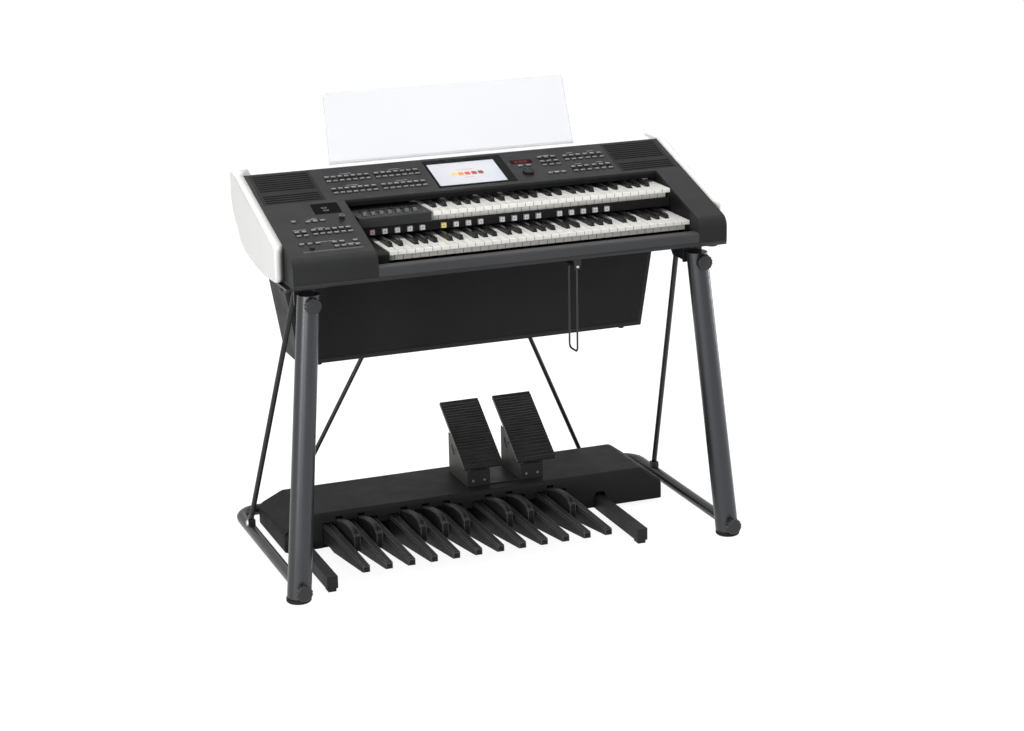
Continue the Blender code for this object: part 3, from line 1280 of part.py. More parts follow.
def pedal_sharp_places():
    """Middles of the black pedals, between naturals 2 and 3 of each group of a C to G octave."""
    return [pedal_x(index) + PEDAL_PITCH / 2.0 for index in range(PEDAL_NATURALS - 1)
            if index % 7 in (0, 1, 3, 4, 5)]


def build_pedal_case(materials):
    """The pedal case: a thin shell, open below, arched over each pedal."""
    bm = bmesh.new()
    rows = add_loft(bm, pedal_case_rings(0.0, PEDAL_CASE_BASE_Z))
    rims = []
    for level in (1, 2):
        row = rows[level]
        rims += [bm.edges.get((a, b)) for a, b in zip(row, row[1:] + row[:1])]
    rims += [bm.edges.get((rows[0][k], rows[1][k])) for k in range(4)]
    rims += [bm.edges.get((rows[1][k], rows[2][k])) for k in range(4)]
    bmesh.ops.bevel(bm, geom=rims, offset=0.010, segments=3, affect='EDGES', profile=0.5)
    case = finish("pedal_case", bm, materials["case"], smooth=True)
    bm = bmesh.new()
    add_loft(bm, pedal_case_rings(PEDAL_CASE_WALL, PEDAL_CASE_BASE_Z - 0.010))
    shape_with(case, bm, 'DIFFERENCE')
    arch_low = 0.0660
    natural_arch = PEDAL_TOP_Z + 0.0035
    sharp_arch = PEDAL_SHARP_TOP_Z - 0.0130
    base = PEDAL_CASE_BASE_Z - 0.005
    half = PEDAL_BASE_HALF + 0.0025
    outline = [(pedal_x(0) - half, base)]
    for index in range(PEDAL_NATURALS):
        x = pedal_x(index)
        outline += [(x - half, arch_low), (x - half * 0.85, natural_arch),
                    (x + half * 0.85, natural_arch), (x + half, arch_low)]
        if index < PEDAL_NATURALS - 1 and index % 7 in (0, 1, 3, 4, 5):
            middle = x + PEDAL_PITCH / 2.0
            reach = PEDAL_SHARP_HALF + 0.0025
            outline += [(middle - reach, arch_low), (middle - reach * 0.85, sharp_arch),
                        (middle + reach * 0.85, sharp_arch), (middle + reach, arch_low)]
    outline += [(pedal_x(PEDAL_NATURALS - 1) + half, base)]
    wall = (PEDAL_CASE_Y - 0.010, PEDAL_CASE_Y + 2.0 * PEDAL_CASE_WALL)
    bm = bmesh.new()
    add_along_y(bm, outline, *wall)
    for x in PEDAL_FOOT_X:
        reach = PEDAL_FOOT_HALF + 0.003
        crown = PEDAL_FOOT_TOP_Z + 0.004
        tunnel = [(x - reach, base), (x - reach, crown), (x - reach * 0.6, crown + 0.010),
                  (x + reach * 0.6, crown + 0.010), (x + reach, crown), (x + reach, base)]
        add_along_y(bm, tunnel, *wall)
    shape_with(case, bm, 'DIFFERENCE')
    hook_front = PEDAL_CASE_Y + PEDAL_CASE_DEPTH - 0.002
    hook_rear = KEY_Y + BAR_REAR - BAR_RADIUS - GAP
    bm = bmesh.new()
    for side in (-1.0, 1.0):
        add_box(bm, side * 0.30 - 0.015, side * 0.30 + 0.015, hook_front, hook_rear,
                BAR_Z - 0.006, BAR_Z + 0.006)
    shape_with(case, bm, 'UNION')
    return case


def pedal_section(x, half, y, low, high):
    """A cross-section with a chamfered crown."""
    chamfer = min(half * 0.35, (high - low) * 0.3)
    return [(x - half, y, low), (x + half, y, low), (x + half, y, high - chamfer),
            (x + half - chamfer, y, high), (x - half + chamfer, y, high),
            (x - half, y, high - chamfer)]


def build_pedals(materials):
    """The natural and sharp pedals, each set swinging on the rod at the rear of the case."""
    axis_y = KEY_Y + PEDAL_HINGE_Y
    axis = (0.0, axis_y, PEDAL_HINGE_Z)
    tail = axis_y - PEDAL_STRIP_DEPTH / 2.0
    tip = KEY_Y + PEDAL_TIP_Y
    upper_tail = (PEDAL_HINGE_Z + PEDAL_TAIL_GAP, PEDAL_HINGE_Z + PEDAL_TAIL_GAP + PEDAL_TAIL_HEIGHT)
    lower_tail = (PEDAL_HINGE_Z - PEDAL_TAIL_GAP - PEDAL_TAIL_HEIGHT, PEDAL_HINGE_Z - PEDAL_TAIL_GAP)
    bm = bmesh.new()
    for index in range(PEDAL_NATURALS):
        x = pedal_x(index)
        sections = (
            (PEDAL_TIP_HALF - 0.0015, tip, PEDAL_TOP_Z - PEDAL_TIP_THICKNESS, PEDAL_TOP_Z - 0.004),
            (PEDAL_TIP_HALF, tip + 0.005, PEDAL_TOP_Z - PEDAL_TIP_THICKNESS, PEDAL_TOP_Z),
            (0.0140, KEY_Y + 0.190, PEDAL_TOP_Z - PEDAL_BELLY, PEDAL_TOP_Z + 0.001),
            (PEDAL_BASE_HALF, KEY_Y + 0.255, PEDAL_TOP_Z - PEDAL_BELLY + 0.0037, PEDAL_TOP_Z),
            (PEDAL_BASE_HALF, KEY_Y + 0.300, PEDAL_TOP_Z - PEDAL_BELLY + 0.0072, PEDAL_TOP_Z - 0.001),
            (0.0120, tail + 0.002, *upper_tail))
        add_loft(bm, [pedal_section(x, *section) for section in sections])
    naturals = finish("pedal_naturals", bm, materials["knob"], axis, smooth=True)
    strip_ends = (pedal_x(0) - 0.020, pedal_x(PEDAL_NATURALS - 1) + 0.020)
    bm = bmesh.new()
    add_box(bm, *strip_ends, tail, tail + PEDAL_STRIP_DEPTH, upper_tail[0] + 0.0005, upper_tail[1])
    shape_with(naturals, bm, 'UNION')
    front = KEY_Y + PEDAL_SHARP_FRONT
    top = PEDAL_SHARP_TOP_Z
    half = PEDAL_SHARP_HALF
    low = PEDAL_TOP_Z - 0.027
    ledge = front + PEDAL_SHARP_LEDGE
    bm = bmesh.new()
    for x in pedal_sharp_places():
        sections = (
            (half - 0.001, front, low, top - PEDAL_SHARP_STEP - 0.002),
            (half, front + 0.002, low, top - PEDAL_SHARP_STEP),
            (half, ledge, low, top - PEDAL_SHARP_STEP), (half, ledge + 0.003, low, top - 0.0085),
            (half, ledge + 0.011, low, top - 0.0040), (half, ledge + 0.024, low, top - 0.0010),
            (half, ledge + 0.044, low, top), (half, ledge + 0.068, low, top - 0.0010),
            (half, ledge + 0.098, low, top - 0.0050), (half, ledge + 0.128, low, top - 0.0120),
            (half, ledge + 0.160, low, top - 0.0200),
            (half, tail + 0.002, *lower_tail))
        add_loft(bm, [pedal_section(x, *section) for section in sections])
    sharps = finish("pedal_sharps", bm, materials["knob"], axis, smooth=True)
    bm = bmesh.new()
    add_box(bm, *strip_ends, tail, tail + PEDAL_STRIP_DEPTH, lower_tail[0],
            lower_tail[1] - 0.0005)
    shape_with(sharps, bm, 'UNION')


def build_pedal_frame(materials):
    """Two long runners joined by cross rails: they carry the hinge rod and the front stop."""
    front = KEY_Y + PEDAL_FOOT_FRONT
    rear = PEDAL_CASE_Y + PEDAL_CASE_DEPTH - PEDAL_CASE_WALL - GAP
    low = PEDAL_PAD_HEIGHT
    rail_top = PEDAL_HINGE_Z + 0.0060
    bm = bmesh.new()
    for x in PEDAL_FOOT_X:
        profile = [(front, low + 0.003), (front, PEDAL_FOOT_TOP_Z), (rear, PEDAL_FOOT_TOP_Z),
                   (rear, low), (front + 0.003, low)]
        add_along_x(bm, profile, x - PEDAL_FOOT_HALF, x + PEDAL_FOOT_HALF)
    frame = finish("pedal_frame", bm, materials["board"])
    x0 = PEDAL_FOOT_X[0] + PEDAL_FOOT_HALF - 0.002
    x1 = PEDAL_FOOT_X[1] - PEDAL_FOOT_HALF + 0.002
    rail = KEY_Y + PEDAL_HINGE_Y + PEDAL_STRIP_DEPTH / 2.0 + 0.0008
    bm = bmesh.new()
    add_box(bm, x0 - 0.010, x1 + 0.010, rail, rear - 0.001, low + 0.001, rail_top)
    shape_with(frame, bm, 'UNION')
    bm = bmesh.new()
    stop = PEDAL_TOP_Z - PEDAL_BELLY - 0.0013
    add_box(bm, x0, x1, PEDAL_CASE_Y + 0.012, PEDAL_CASE_Y + 0.040, low + 0.001, stop)
    shape_with(frame, bm, 'UNION')
    bm = bmesh.new()
    add_box(bm, x0 - 0.003, x1 + 0.003, PEDAL_CASE_Y + 0.030, rail + 0.001, low + 0.0015,
            low + 0.0045)
    shape_with(frame, bm, 'UNION')
    bm = bmesh.new()
    for x in PEDAL_FOOT_X:
        reach = PEDAL_FOOT_HALF - 0.004
        for y0 in (front + 0.004, rear - 0.034):
            add_box(bm, x - reach, x + reach, y0, y0 + 0.030, 0.0, low + 0.002)
    shape_with(frame, bm, 'UNION')
    return frame


def treadle_left(index):
    return TREADLE_FIRST_X + index * TREADLE_STEP_X


def treadle_point(along, above):
    """A point on the treadle's side view: distance up the plate and above its face."""
    y = KEY_Y + TREADLE_HEEL_Y + along * cos(TREADLE_PITCH) - above * sin(TREADLE_PITCH)
    z = TREADLE_HEEL_Z + along * sin(TREADLE_PITCH) + above * cos(TREADLE_PITCH)
    return (y, z)


def treadle_profile():
    """Side view of a treadle: coarse steps at the heel, fine ribs over the ball of the foot."""
    face = []
    along = 0.004
    for count, pitch in ((6, 0.0130), (16, 0.0095)):
        for _ in range(count):
            face += [(along, -TREADLE_RIB), (along + pitch * 0.25, 0.0), (along + pitch * 0.8, 0.0)]
            along += pitch
    face += [(along, -TREADLE_RIB)]
    ends = [(TREADLE_LENGTH, -TREADLE_RIB), (TREADLE_LENGTH, -TREADLE_THICKNESS)]
    heel = [(0.002, -TREADLE_THICKNESS), (0.0, -TREADLE_RIB - 0.002)]
    return [treadle_point(a, b) for a, b in face + ends + heel]


def build_expression_pedals(materials):
    """Each treadle rocks on trunnions between the cheeks of its bracket."""
    pivot_y = KEY_Y + TREADLE_PIVOT_Y
    base = PEDAL_CASE_TOP_Z + GAP
    front = KEY_Y + TREADLE_BRACKET_FRONT
    rear = KEY_Y + TREADLE_BRACKET_REAR
    plate = TREADLE_BRACKET_PLATE
    lean = atan2(TREADLE_BRACKET_REAR_Z - 0.006 - 0.158, 0.108)
    ridge_y = front + 0.108
    brackets = bmesh.new()
    spans = []
    for index in range(2):
        x0 = treadle_left(index) + TREADLE_BRACKET_INSET
        spans.append((x0, x0 + TREADLE_BRACKET_WIDTH))
    heel_top = 0.158
    ridge = heel_top + 0.108 * tan(lean)
    cheek = [(front, base), (rear, base), (rear, TREADLE_BRACKET_REAR_Z), (ridge_y, ridge),
             (front, heel_top)]
    for x0, x1 in spans:
        add_along_x(brackets, cheek, x0, x1)
    bracket = finish("treadle_bracket", brackets, materials["board"])
    bm = bmesh.new()
    add_box(bm, spans[0][0] + plate / 2.0, spans[1][1] - plate / 2.0, front + plate / 2.0,
            rear - plate / 2.0, base, base + 0.003)
    shape_with(bracket, bm, 'UNION')
    bm = bmesh.new()
    for x0, x1 in spans:
        add_box(bm, x0 + plate, x1 - plate, front + plate, rear + 0.010, base + 0.004, 0.300)
    shape_with(bracket, bm, 'DIFFERENCE')
    bm = bmesh.new()
    for x0, x1 in spans:
        add_turned(bm, ((TRUNNION_RADIUS + 0.0006, 0.0), (TRUNNION_RADIUS + 0.0006, x1 - x0 + 0.02)),
                   12, facing((1.0, 0.0, 0.0), (x0 - 0.010, pivot_y, TREADLE_PIVOT_Z)))
    shape_with(bracket, bm, 'DIFFERENCE')
    slot_y, slot_z = CHEEK_SLOT
    slot = []
    for end in (1.0, -1.0):
        for step in range(7):
            turn = CHEEK_SLOT_LEAN - end * radians(90.0) + radians(30.0) * step
            slot.append((KEY_Y + slot_y + end * CHEEK_SLOT_REACH * cos(CHEEK_SLOT_LEAN)
                         + CHEEK_SLOT_RADIUS * cos(turn),
                         slot_z + end * CHEEK_SLOT_REACH * sin(CHEEK_SLOT_LEAN)
                         + CHEEK_SLOT_RADIUS * sin(turn)))
    bm = bmesh.new()
    for x0, x1 in spans:
        add_along_x(bm, slot, x0 - 0.010, x1 + 0.010)
    shape_with(bracket, bm, 'DIFFERENCE')
    for index, name in ((0, "left_treadle"), (1, "right_treadle")):
        left = treadle_left(index)
        bm = bmesh.new()
        add_along_x(bm, treadle_profile(), left, left + TREADLE_WIDTH)
        treadle = finish(name, bm, materials["knob"],
                         (left + TREADLE_WIDTH / 2.0, pivot_y, TREADLE_PIVOT_Z))
        x0, x1 = spans[index]
        bm = bmesh.new()
        block = [treadle_point(0.090, -TREADLE_THICKNESS + 0.002),
                 treadle_point(0.165, -TREADLE_THICKNESS + 0.002),
                 (pivot_y + 0.012, TREADLE_PIVOT_Z - 0.008), (pivot_y - 0.012, TREADLE_PIVOT_Z - 0.008)]
        add_along_x(bm, block, x0 + plate + 0.0012, x1 - plate - 0.0012)
        shape_with(treadle, bm, 'UNION')
        bm = bmesh.new()
        add_turned(bm, ((TRUNNION_RADIUS, 0.0), (TRUNNION_RADIUS, x1 - x0)), 12,
                   facing((1.0, 0.0, 0.0), (x0, pivot_y, TREADLE_PIVOT_Z)))
        shape_with(treadle, bm, 'UNION')
    return bracket


def build_inside(materials):
    """Circuit board on pillars, and the power unit in the left end block."""
    floor = CASE_FLOOR_Z + GAP
    board_y = KEY_Y + BOARD_SETBACK
    board_z = CASE_FLOOR_Z + BOARD_LIFT
    bm = bmesh.new()
    add_box(bm, *BOARD_ENDS, board_y, board_y + BOARD_DEPTH, board_z, board_z + BOARD_THICKNESS)
    board = finish("main_board", bm, materials["circuit"])
    for x in (BOARD_ENDS[0] + BOARD_MARGIN[0], BOARD_ENDS[1] - BOARD_MARGIN[0]):
        for y in (board_y + BOARD_MARGIN[1], board_y + BOARD_DEPTH - BOARD_MARGIN[1]):
            bm = bmesh.new()
            add_turned(bm, ((PILLAR_RADIUS, 0.0),
                            (PILLAR_RADIUS, board_z + BOARD_THICKNESS / 2.0 - floor)), 8,
                       Matrix.Translation((x, y, floor)))
            shape_with(board, bm, 'UNION')
    bm = bmesh.new()
    for x, y, size_x, size_y, height in BOARD_CHIPS:
        add_box(bm, x * STEP, (x + size_x) * STEP, board_y + y - size_y / 2.0,
                board_y + y + size_y / 2.0, board_z + BOARD_THICKNESS / 2.0,
                board_z + BOARD_THICKNESS + height)
    shape_with(board, bm, 'UNION')
    bm = bmesh.new()
    add_box(bm, *POWER_ENDS, KEY_Y + POWER_REACH[0], KEY_Y + POWER_REACH[1], floor,
            floor + POWER_HEIGHT)
    finish("power_unit", bm, materials["steel"])


def main():
    clear_scene()
    materials = make_materials()
    build_upper_case(materials)
    for side, hand in ((-1.0, "left"), (1.0, "right")):
        build_grille(materials, side, hand + "_grille")
        build_console_speaker(materials, side, hand + "_speaker")
    build_bottom_case(materials)
    build_front_rail(materials)
    build_rear_cover(materials)
    build_side_panel(materials, -1.0, "left_side_panel")
    build_side_panel(materials, 1.0, "right_side_panel")
    build_manual(materials, "lower", LOWER_NATURALS, KEY_Y, LOWER_KEY_Z, SWING_LOWER_Y)
    build_manual(materials, "upper", UPPER_NATURALS, UPPER_KEY_Y, UPPER_KEY_Z, SWING_UPPER_Y)
    build_key_frames(materials)
    build_fascia(materials)
    build_controller_block(materials)
    build_controls(materials)
    build_display(materials)
    build_music_rest(materials)
    build_inside(materials)
    build_speaker_cabinet(materials)
    build_legs(materials)
    build_floor_frame(materials)
    build_struts(materials)
    build_brackets(materials)
    build_leg_knobs(materials)
    build_knee_lever(materials)
    build_pedal_case(materials)
    build_pedals(materials)
    build_pedal_frame(materials)
    build_expression_pedals(materials)


main()
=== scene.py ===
"""Two-manual electronic organ on its stand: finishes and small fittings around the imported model."""
import random
from functools import cache
from math import cos, pi, radians, sin

import bmesh
import bpy
from bpy.props import FloatProperty, FloatVectorProperty, PointerProperty
from mathutils import Matrix, Vector


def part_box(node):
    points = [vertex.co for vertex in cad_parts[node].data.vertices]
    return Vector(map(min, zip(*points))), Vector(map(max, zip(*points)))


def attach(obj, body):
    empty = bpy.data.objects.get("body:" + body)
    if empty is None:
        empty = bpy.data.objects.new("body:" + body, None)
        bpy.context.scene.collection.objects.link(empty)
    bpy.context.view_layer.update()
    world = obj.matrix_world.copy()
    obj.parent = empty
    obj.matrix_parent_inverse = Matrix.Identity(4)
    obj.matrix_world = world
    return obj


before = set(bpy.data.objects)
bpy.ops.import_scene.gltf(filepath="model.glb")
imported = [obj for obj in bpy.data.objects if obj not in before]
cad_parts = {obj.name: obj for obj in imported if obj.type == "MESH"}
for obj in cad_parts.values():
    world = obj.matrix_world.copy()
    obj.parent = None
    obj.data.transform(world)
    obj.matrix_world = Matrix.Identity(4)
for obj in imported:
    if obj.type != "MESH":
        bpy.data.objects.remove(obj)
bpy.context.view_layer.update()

bl_info = {
    "name": "Electronic Organ Builder",
    "version": (1, 0, 0),
    "blender": (4, 5, 0),
    "location": "View3D > Sidebar > Organ",
    "description": "Builds the finishes, fittings and studio of a two-manual electronic organ",
    "category": "Object",
}

# Places of the console, in metres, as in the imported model
KEY_Y = -0.2651
PITCH = radians(17.4)
PANEL_ORIGIN = Vector((0.0, KEY_Y, 0.92356))
PANEL = Matrix.Translation(PANEL_ORIGIN) @ Matrix.Rotation(PITCH, 4, 'X')
PANEL_NORMAL = Vector((0.0, -sin(PITCH), cos(PITCH)))
PANEL_UP = (0.0, 0.95424, 0.29904)
# Bounds of the key well, and the fade of the painted shade on its inner faces
WELL_SHADE_SIDES = (("X", -0.3790, 0.5230), ("Y", -0.2600, -0.0300))
WELL_SHADE_FADE = 0.002
REAR_FACE = 0.1819
CAP_HALF = (0.0060, 0.0031)
CAP_GAP = 0.0004
POCKET_MARGIN = 0.0014
CLEARANCE = 0.0003
VOICE_ROWS = (0.3600, 0.3380, 0.2945, 0.2720)


def spread(first, step, count):
    return [first + step * index for index in range(count)]


VOICE_CLUSTERS = [(spread(first, 0.0184, 7), rows) for first in (-0.3875, -0.2490)
                  for rows in (VOICE_ROWS[0:2], VOICE_ROWS[2:4])]
FUNCTION_CLUSTERS = [
    (spread(0.2250, 0.0200, 3), (0.3640, 0.3400, 0.3190)),
    (spread(0.2230, 0.0195, 3), (0.2720,)),
    (spread(0.2990, 0.0200, 3), VOICE_ROWS[0:2]),
    (spread(0.3610, 0.0205, 3), VOICE_ROWS[0:2]),
    (spread(0.2990, 0.0200, 3), VOICE_ROWS[2:4]),
    (spread(0.3610, 0.0205, 3), VOICE_ROWS[2:4]),
    (spread(0.1550, 0.0240, 2), (0.3260,)),
]
BLOCK_CLUSTERS = [
    (spread(-0.5410, 0.0180, 1), (0.1430,)),
    (spread(-0.5040, 0.0195, 3), (0.1360,)),
    (spread(-0.5480, 0.0190, 2), (0.0870, 0.0680)),
    (spread(-0.5030, 0.0186, 6), (0.0905, 0.0700)),
    (spread(-0.5530, 0.0215, 3), (0.0250,)),
    (spread(-0.4670, 0.0190, 2), (0.0220,)),
    (spread(-0.4120, 0.0190, 1), (0.0220,)),
    (spread(-0.4670, 0.0183, 4), (0.0010,)),
]
DIAL = PANEL @ Matrix.Translation((0.1630, 0.2870, 0.0))
VOLUME_KNOB_TOP = PANEL @ Matrix.Translation((-0.4130, 0.1380, 0.0106))
NUMBER_WINDOW = (0.1340, 0.1980, 0.3410, 0.3620)
SOCKET_POCKET = (-0.4740, -0.4010, 0.1710, 0.2270)
SOCKETS = ((-0.4420, 0.2040), (-0.4400, 0.1900))
CONTROLLER_TOP = 0.9620
FASCIA_FACE = -0.1291
REGISTER_Z = 0.9195
REGISTER_PITCH = 0.0346
REGISTER_PLACES = [x for first, count in ((-0.331, 5), (-0.133, 4), (0.032, 4), (0.197, 5))
                   for x in spread(first, REGISTER_PITCH, count)]

# Places of the stand and of the treadles
LEG_LENGTH = 0.8060
LEG_FOOT = (0.6206, -0.0357)
LEG_TOP = (0.5451, 0.0124)
LEG_RADIUS = 0.0320
LEG_TAPER = 0.0030
TREADLE_LEFTS = (("left_expression_pedal", -0.0290), ("right_expression_pedal", 0.1320))
TREADLE_WIDTH = 0.1150
TREADLE = (Matrix.Translation((0.0, KEY_Y + 0.3100, 0.1740))
           @ Matrix.Rotation(radians(35.2), 4, 'X'))
SLOT_CENTRE = (KEY_Y + 0.4390, 0.1905)
SLOT_TILT = 42.0
SLOT_HALF = 0.0120
SLOT_RADIUS = 0.0054

BACKWARD = (0.0, 1.0, 0.0)
FORWARD = (0.0, -1.0, 0.0)
DOWN = (0.0, 0.0, -1.0)
WHITE = (1.0, 1.0, 1.0, 1.0)


def tone(label, text, value):
    return FloatVectorProperty(name=label, description=text, default=value, size=3, min=0.0,
                               max=1.0, subtype='COLOR')


def length(label, text, value, low, high):
    return FloatProperty(name=label, description=text, default=value, min=low, max=high,
                         unit='LENGTH')


def power(label, text, value):
    return FloatProperty(name=label, description=text, default=value, min=0.0, unit='POWER')


class OrganColours(bpy.types.PropertyGroup):
    """Colours of the finishes."""

    case: tone("Case", "Moulded plastic of the console", (0.0240, 0.0244, 0.0252))
    shell: tone("Shell", "Side panels and rear shell", (0.8300, 0.8250, 0.8050))
    naturals: tone("Naturals", "White keys", (0.8600, 0.8500, 0.8050))
    sharps: tone("Sharps", "Black keys", (0.0110, 0.0110, 0.0120))
    caps: tone("Button caps", "Small panel buttons", (0.2700, 0.2730, 0.2700))
    registers: tone("Registration buttons", "Square buttons between the manuals",
                    (0.7000, 0.6900, 0.7300))
    first_register: tone("First registration button", "The first square button",
                         (0.5600, 0.3600, 0.3800))
    lit_register: tone("Lit registration button", "The square button that is switched on",
                       (0.9000, 0.7400, 0.2600))
    legends: tone("Legends", "Printed marks on the panel", (0.4700, 0.4800, 0.4700))
    pane: tone("Music rest", "Clear pane of the music rest", (0.9150, 0.9220, 0.9560))
    legs: tone("Legs", "Metallic paint of the legs", (0.0480, 0.0495, 0.0540))
    tubes: tone("Tubes", "Paint of the frame, struts and brackets", (0.0150, 0.0152, 0.0165))
    cloth: tone("Speaker cloth", "Cloth over the speaker cabinet", (0.0170, 0.0175, 0.0195))
    pedals: tone("Pedals", "Moulded plastic of the pedals", (0.0200, 0.0210, 0.0200))


class OrganSizes(bpy.types.PropertyGroup):
    """Sizes of the small fittings and of the rounded edges."""

    edge: length("Edge round", "Width of the rounded edges of the case", 0.0010, 0.0, 0.004)
    key_edge: length("Key edge round", "Width of the rounded key edges", 0.0007, 0.0, 0.002)
    legend: length("Legend height", "Height of a printed mark", 0.0013, 0.0005, 0.004)
    screw: length("Screw head", "Radius of a screw head", 0.0036, 0.001, 0.008)
    rubber_foot: length("Console foot", "Radius of a console foot", 0.0090, 0.004, 0.02)


class OrganStage(bpy.types.PropertyGroup):
    """The studio round the organ."""

    key_power: power("Key lamp", "Power of the large soft lamp", 105.0)
    fill_power: power("Fill lamp", "Power of the lamp on the right", 34.0)
    top_power: power("Top lamp", "Power of the overhead lamp", 85.0)
    rim_power: power("Rear lamp", "Power of the lamp behind", 22.0)
    strip_power: power("Strip lamps", "Power of the two low strip lamps", 34.0)
    ambient: FloatProperty(name="Ambient", description="Strength of the light from all around",
                           default=0.42, min=0.0, max=1.0)


def tint(name):
    return tuple(getattr(bpy.context.scene.organ_colours, name))


def sizes():
    return bpy.context.scene.organ_sizes


# Building finishes out of nodes

class Nodes:
    """An emptied node tree, with short ways to add to it."""

    def __init__(self, tree):
        self.tree = tree
        tree.nodes.clear()

    def add(self, kind, **settings):
        node = self.tree.nodes.new(kind)
        for key, value in settings.items():
            setattr(node, key, value)
        return node

    def link(self, source, target):
        self.tree.links.new(source, target)

    def feed(self, target, value):
        """Give a socket a value, or the output of another node."""
        if isinstance(value, bpy.types.NodeSocket):
            self.link(value, target)
        else:
            target.default_value = value

    def filled(self, kind, **values):
        """The output of a node whose sockets are set."""
        node = self.add(kind)
        for key, value in values.items():
            self.feed(node.inputs[key], value)
        return node.outputs[0]

    def math(self, operation, first, second):
        node = self.add("ShaderNodeMath", operation=operation)
        self.feed(node.inputs[0], first)
        self.feed(node.inputs[1], second)
        return node.outputs[0]

    def split_by_ray(self, output, bounced, direct):
        """Show one shader to the camera, reflections and clear material, and light with another."""
        path = self.add("ShaderNodeLightPath")
        seen = path.outputs["Is Camera Ray"]
        for name in ("Is Glossy Ray", "Is Transmission Ray"):
            seen = self.math('MAXIMUM', seen, path.outputs[name])
        mix = self.add("ShaderNodeMixShader")
        for source, target in zip((seen, bounced, direct), mix.inputs):
            self.link(source, target)
        self.link(mix.outputs[0], self.add(output).inputs["Surface"])


class Finish(Nodes):
    """One material, with short ways to add its textures."""

    def __init__(self, name):
        self.material = bpy.data.materials.new(name)
        self.material.use_nodes = True
        super().__init__(self.material.node_tree)
        out = self.add("ShaderNodeOutputMaterial")
        self.shader = self.add("ShaderNodeBsdfPrincipled")
        self.link(self.shader.outputs[0], out.inputs["Surface"])
        self.place = self.add("ShaderNodeTexCoord").outputs["Object"]

    def set(self, **values):
        """Set sockets of the shader: underscores in a name stand for spaces."""
        for key, value in values.items():
            self.shader.inputs[key.replace("_", " ")].default_value = value

    def stretched(self, scale):
        mapping = self.add("ShaderNodeMapping")
        mapping.inputs["Scale"].default_value = scale
        self.link(self.place, mapping.inputs["Vector"])
        return mapping.outputs["Vector"]

    def noise(self, scale, detail=2.0, rough=0.5, stretch=None):
        node = self.add("ShaderNodeTexNoise")
        node.inputs["Scale"].default_value = scale
        node.inputs["Detail"].default_value = detail
        node.inputs["Roughness"].default_value = rough
        self.link(self.stretched(stretch) if stretch else self.place, node.inputs["Vector"])
        return node.outputs["Fac"]

    def wave(self, direction, scale, distortion, detail=2.0):
        node = self.add("ShaderNodeTexWave", wave_type='BANDS', bands_direction=direction)
        for key, value in (("Scale", scale), ("Distortion", distortion), ("Detail", detail)):
            node.inputs[key].default_value = value
        self.link(self.place, node.inputs["Vector"])
        return node.outputs["Fac"]

    def between(self, source, low, high, start=0.3, end=0.7):
        """Map a value from start…end to low…high."""
        node = self.add("ShaderNodeMapRange")
        for key, value in (("From Min", start), ("From Max", end), ("To Min", low),
                           ("To Max", high)):
            node.inputs[key].default_value = value
        self.link(source, node.inputs["Value"])
        return node.outputs["Result"]

    def patches(self, scale, detail=2.0, rough=0.5, stretch=None):
        """Soft patches, from zero to one."""
        return self.between(self.noise(scale, detail, rough, stretch), 0.0, 1.0)

    def blend(self, factor, first, second):
        """Mix two colours: each is a colour or the output of a node."""
        node = self.add("ShaderNodeMix", data_type='RGBA')
        self.link(factor, node.inputs[0])
        for value, target in ((first, node.inputs[6]), (second, node.inputs[7])):
            self.feed(target, (*value, 1.0) if isinstance(value, tuple) else value)
        return node.outputs[2]

    def two_tone(self, factor, colour, low, high):
        """One colour, shaded by two factors."""
        return self.blend(factor, shade(colour, low), shade(colour, high))

    def axis(self, name, source=None):
        node = self.add("ShaderNodeSeparateXYZ")
        self.link(source or self.place, node.inputs[0])
        return node.outputs[name]

    def dot(self, first, second):
        node = self.add("ShaderNodeVectorMath", operation='DOT_PRODUCT')
        self.feed(node.inputs[0], first)
        self.feed(node.inputs[1], second)
        return node.outputs["Value"]

    def along(self, direction, origin):
        """Distance from a point along a direction."""
        return self.math('SUBTRACT', self.dot(self.place, direction), Vector(direction).dot(origin))

    def hollows(self, reach):
        """Zero deep inside narrow gaps, one on open surfaces."""
        node = self.add("ShaderNodeAmbientOcclusion", samples=6)
        node.inputs["Distance"].default_value = reach
        return self.between(node.outputs["AO"], 0.0, 1.0, 0.25, 0.75)

    def edges(self, width):
        """One along the edges of the shape, zero on its faces."""
        rounded = self.add("ShaderNodeBevel", samples=4)
        rounded.inputs["Radius"].default_value = width
        flat = self.add("ShaderNodeNewGeometry").outputs["Normal"]
        return self.between(self.dot(rounded.outputs["Normal"], flat), 1.0, 0.0, 0.90, 0.995)

    def colour(self, source):
        self.link(source, self.shader.inputs["Base Color"])

    def coloured(self):
        return self.shader.inputs["Base Color"].links[0].from_socket

    def roughness(self, source):
        self.link(source, self.shader.inputs["Roughness"])

    def matt(self, low, high, *noise):
        """Roughness that drifts between two values."""
        self.roughness(self.between(self.noise(*noise), low, high))

    def glow(self, colour, strength):
        self.link(colour, self.shader.inputs["Emission Color"])
        self.feed(self.shader.inputs["Emission Strength"], strength)

    def bump(self, *layers):
        """Stack bumps: each layer is (height, depth in metres)."""
        previous = None
        for height, depth in layers:
            node = self.add("ShaderNodeBump")
            node.inputs["Distance"].default_value = depth
            self.link(height, node.inputs["Height"])
            if previous:
                self.link(previous, node.inputs["Normal"])
            previous = node.outputs["Normal"]
        self.link(previous, self.shader.inputs["Normal"])


def shade(colour, factor):
    return tuple(min(1.0, channel * factor) for channel in colour)


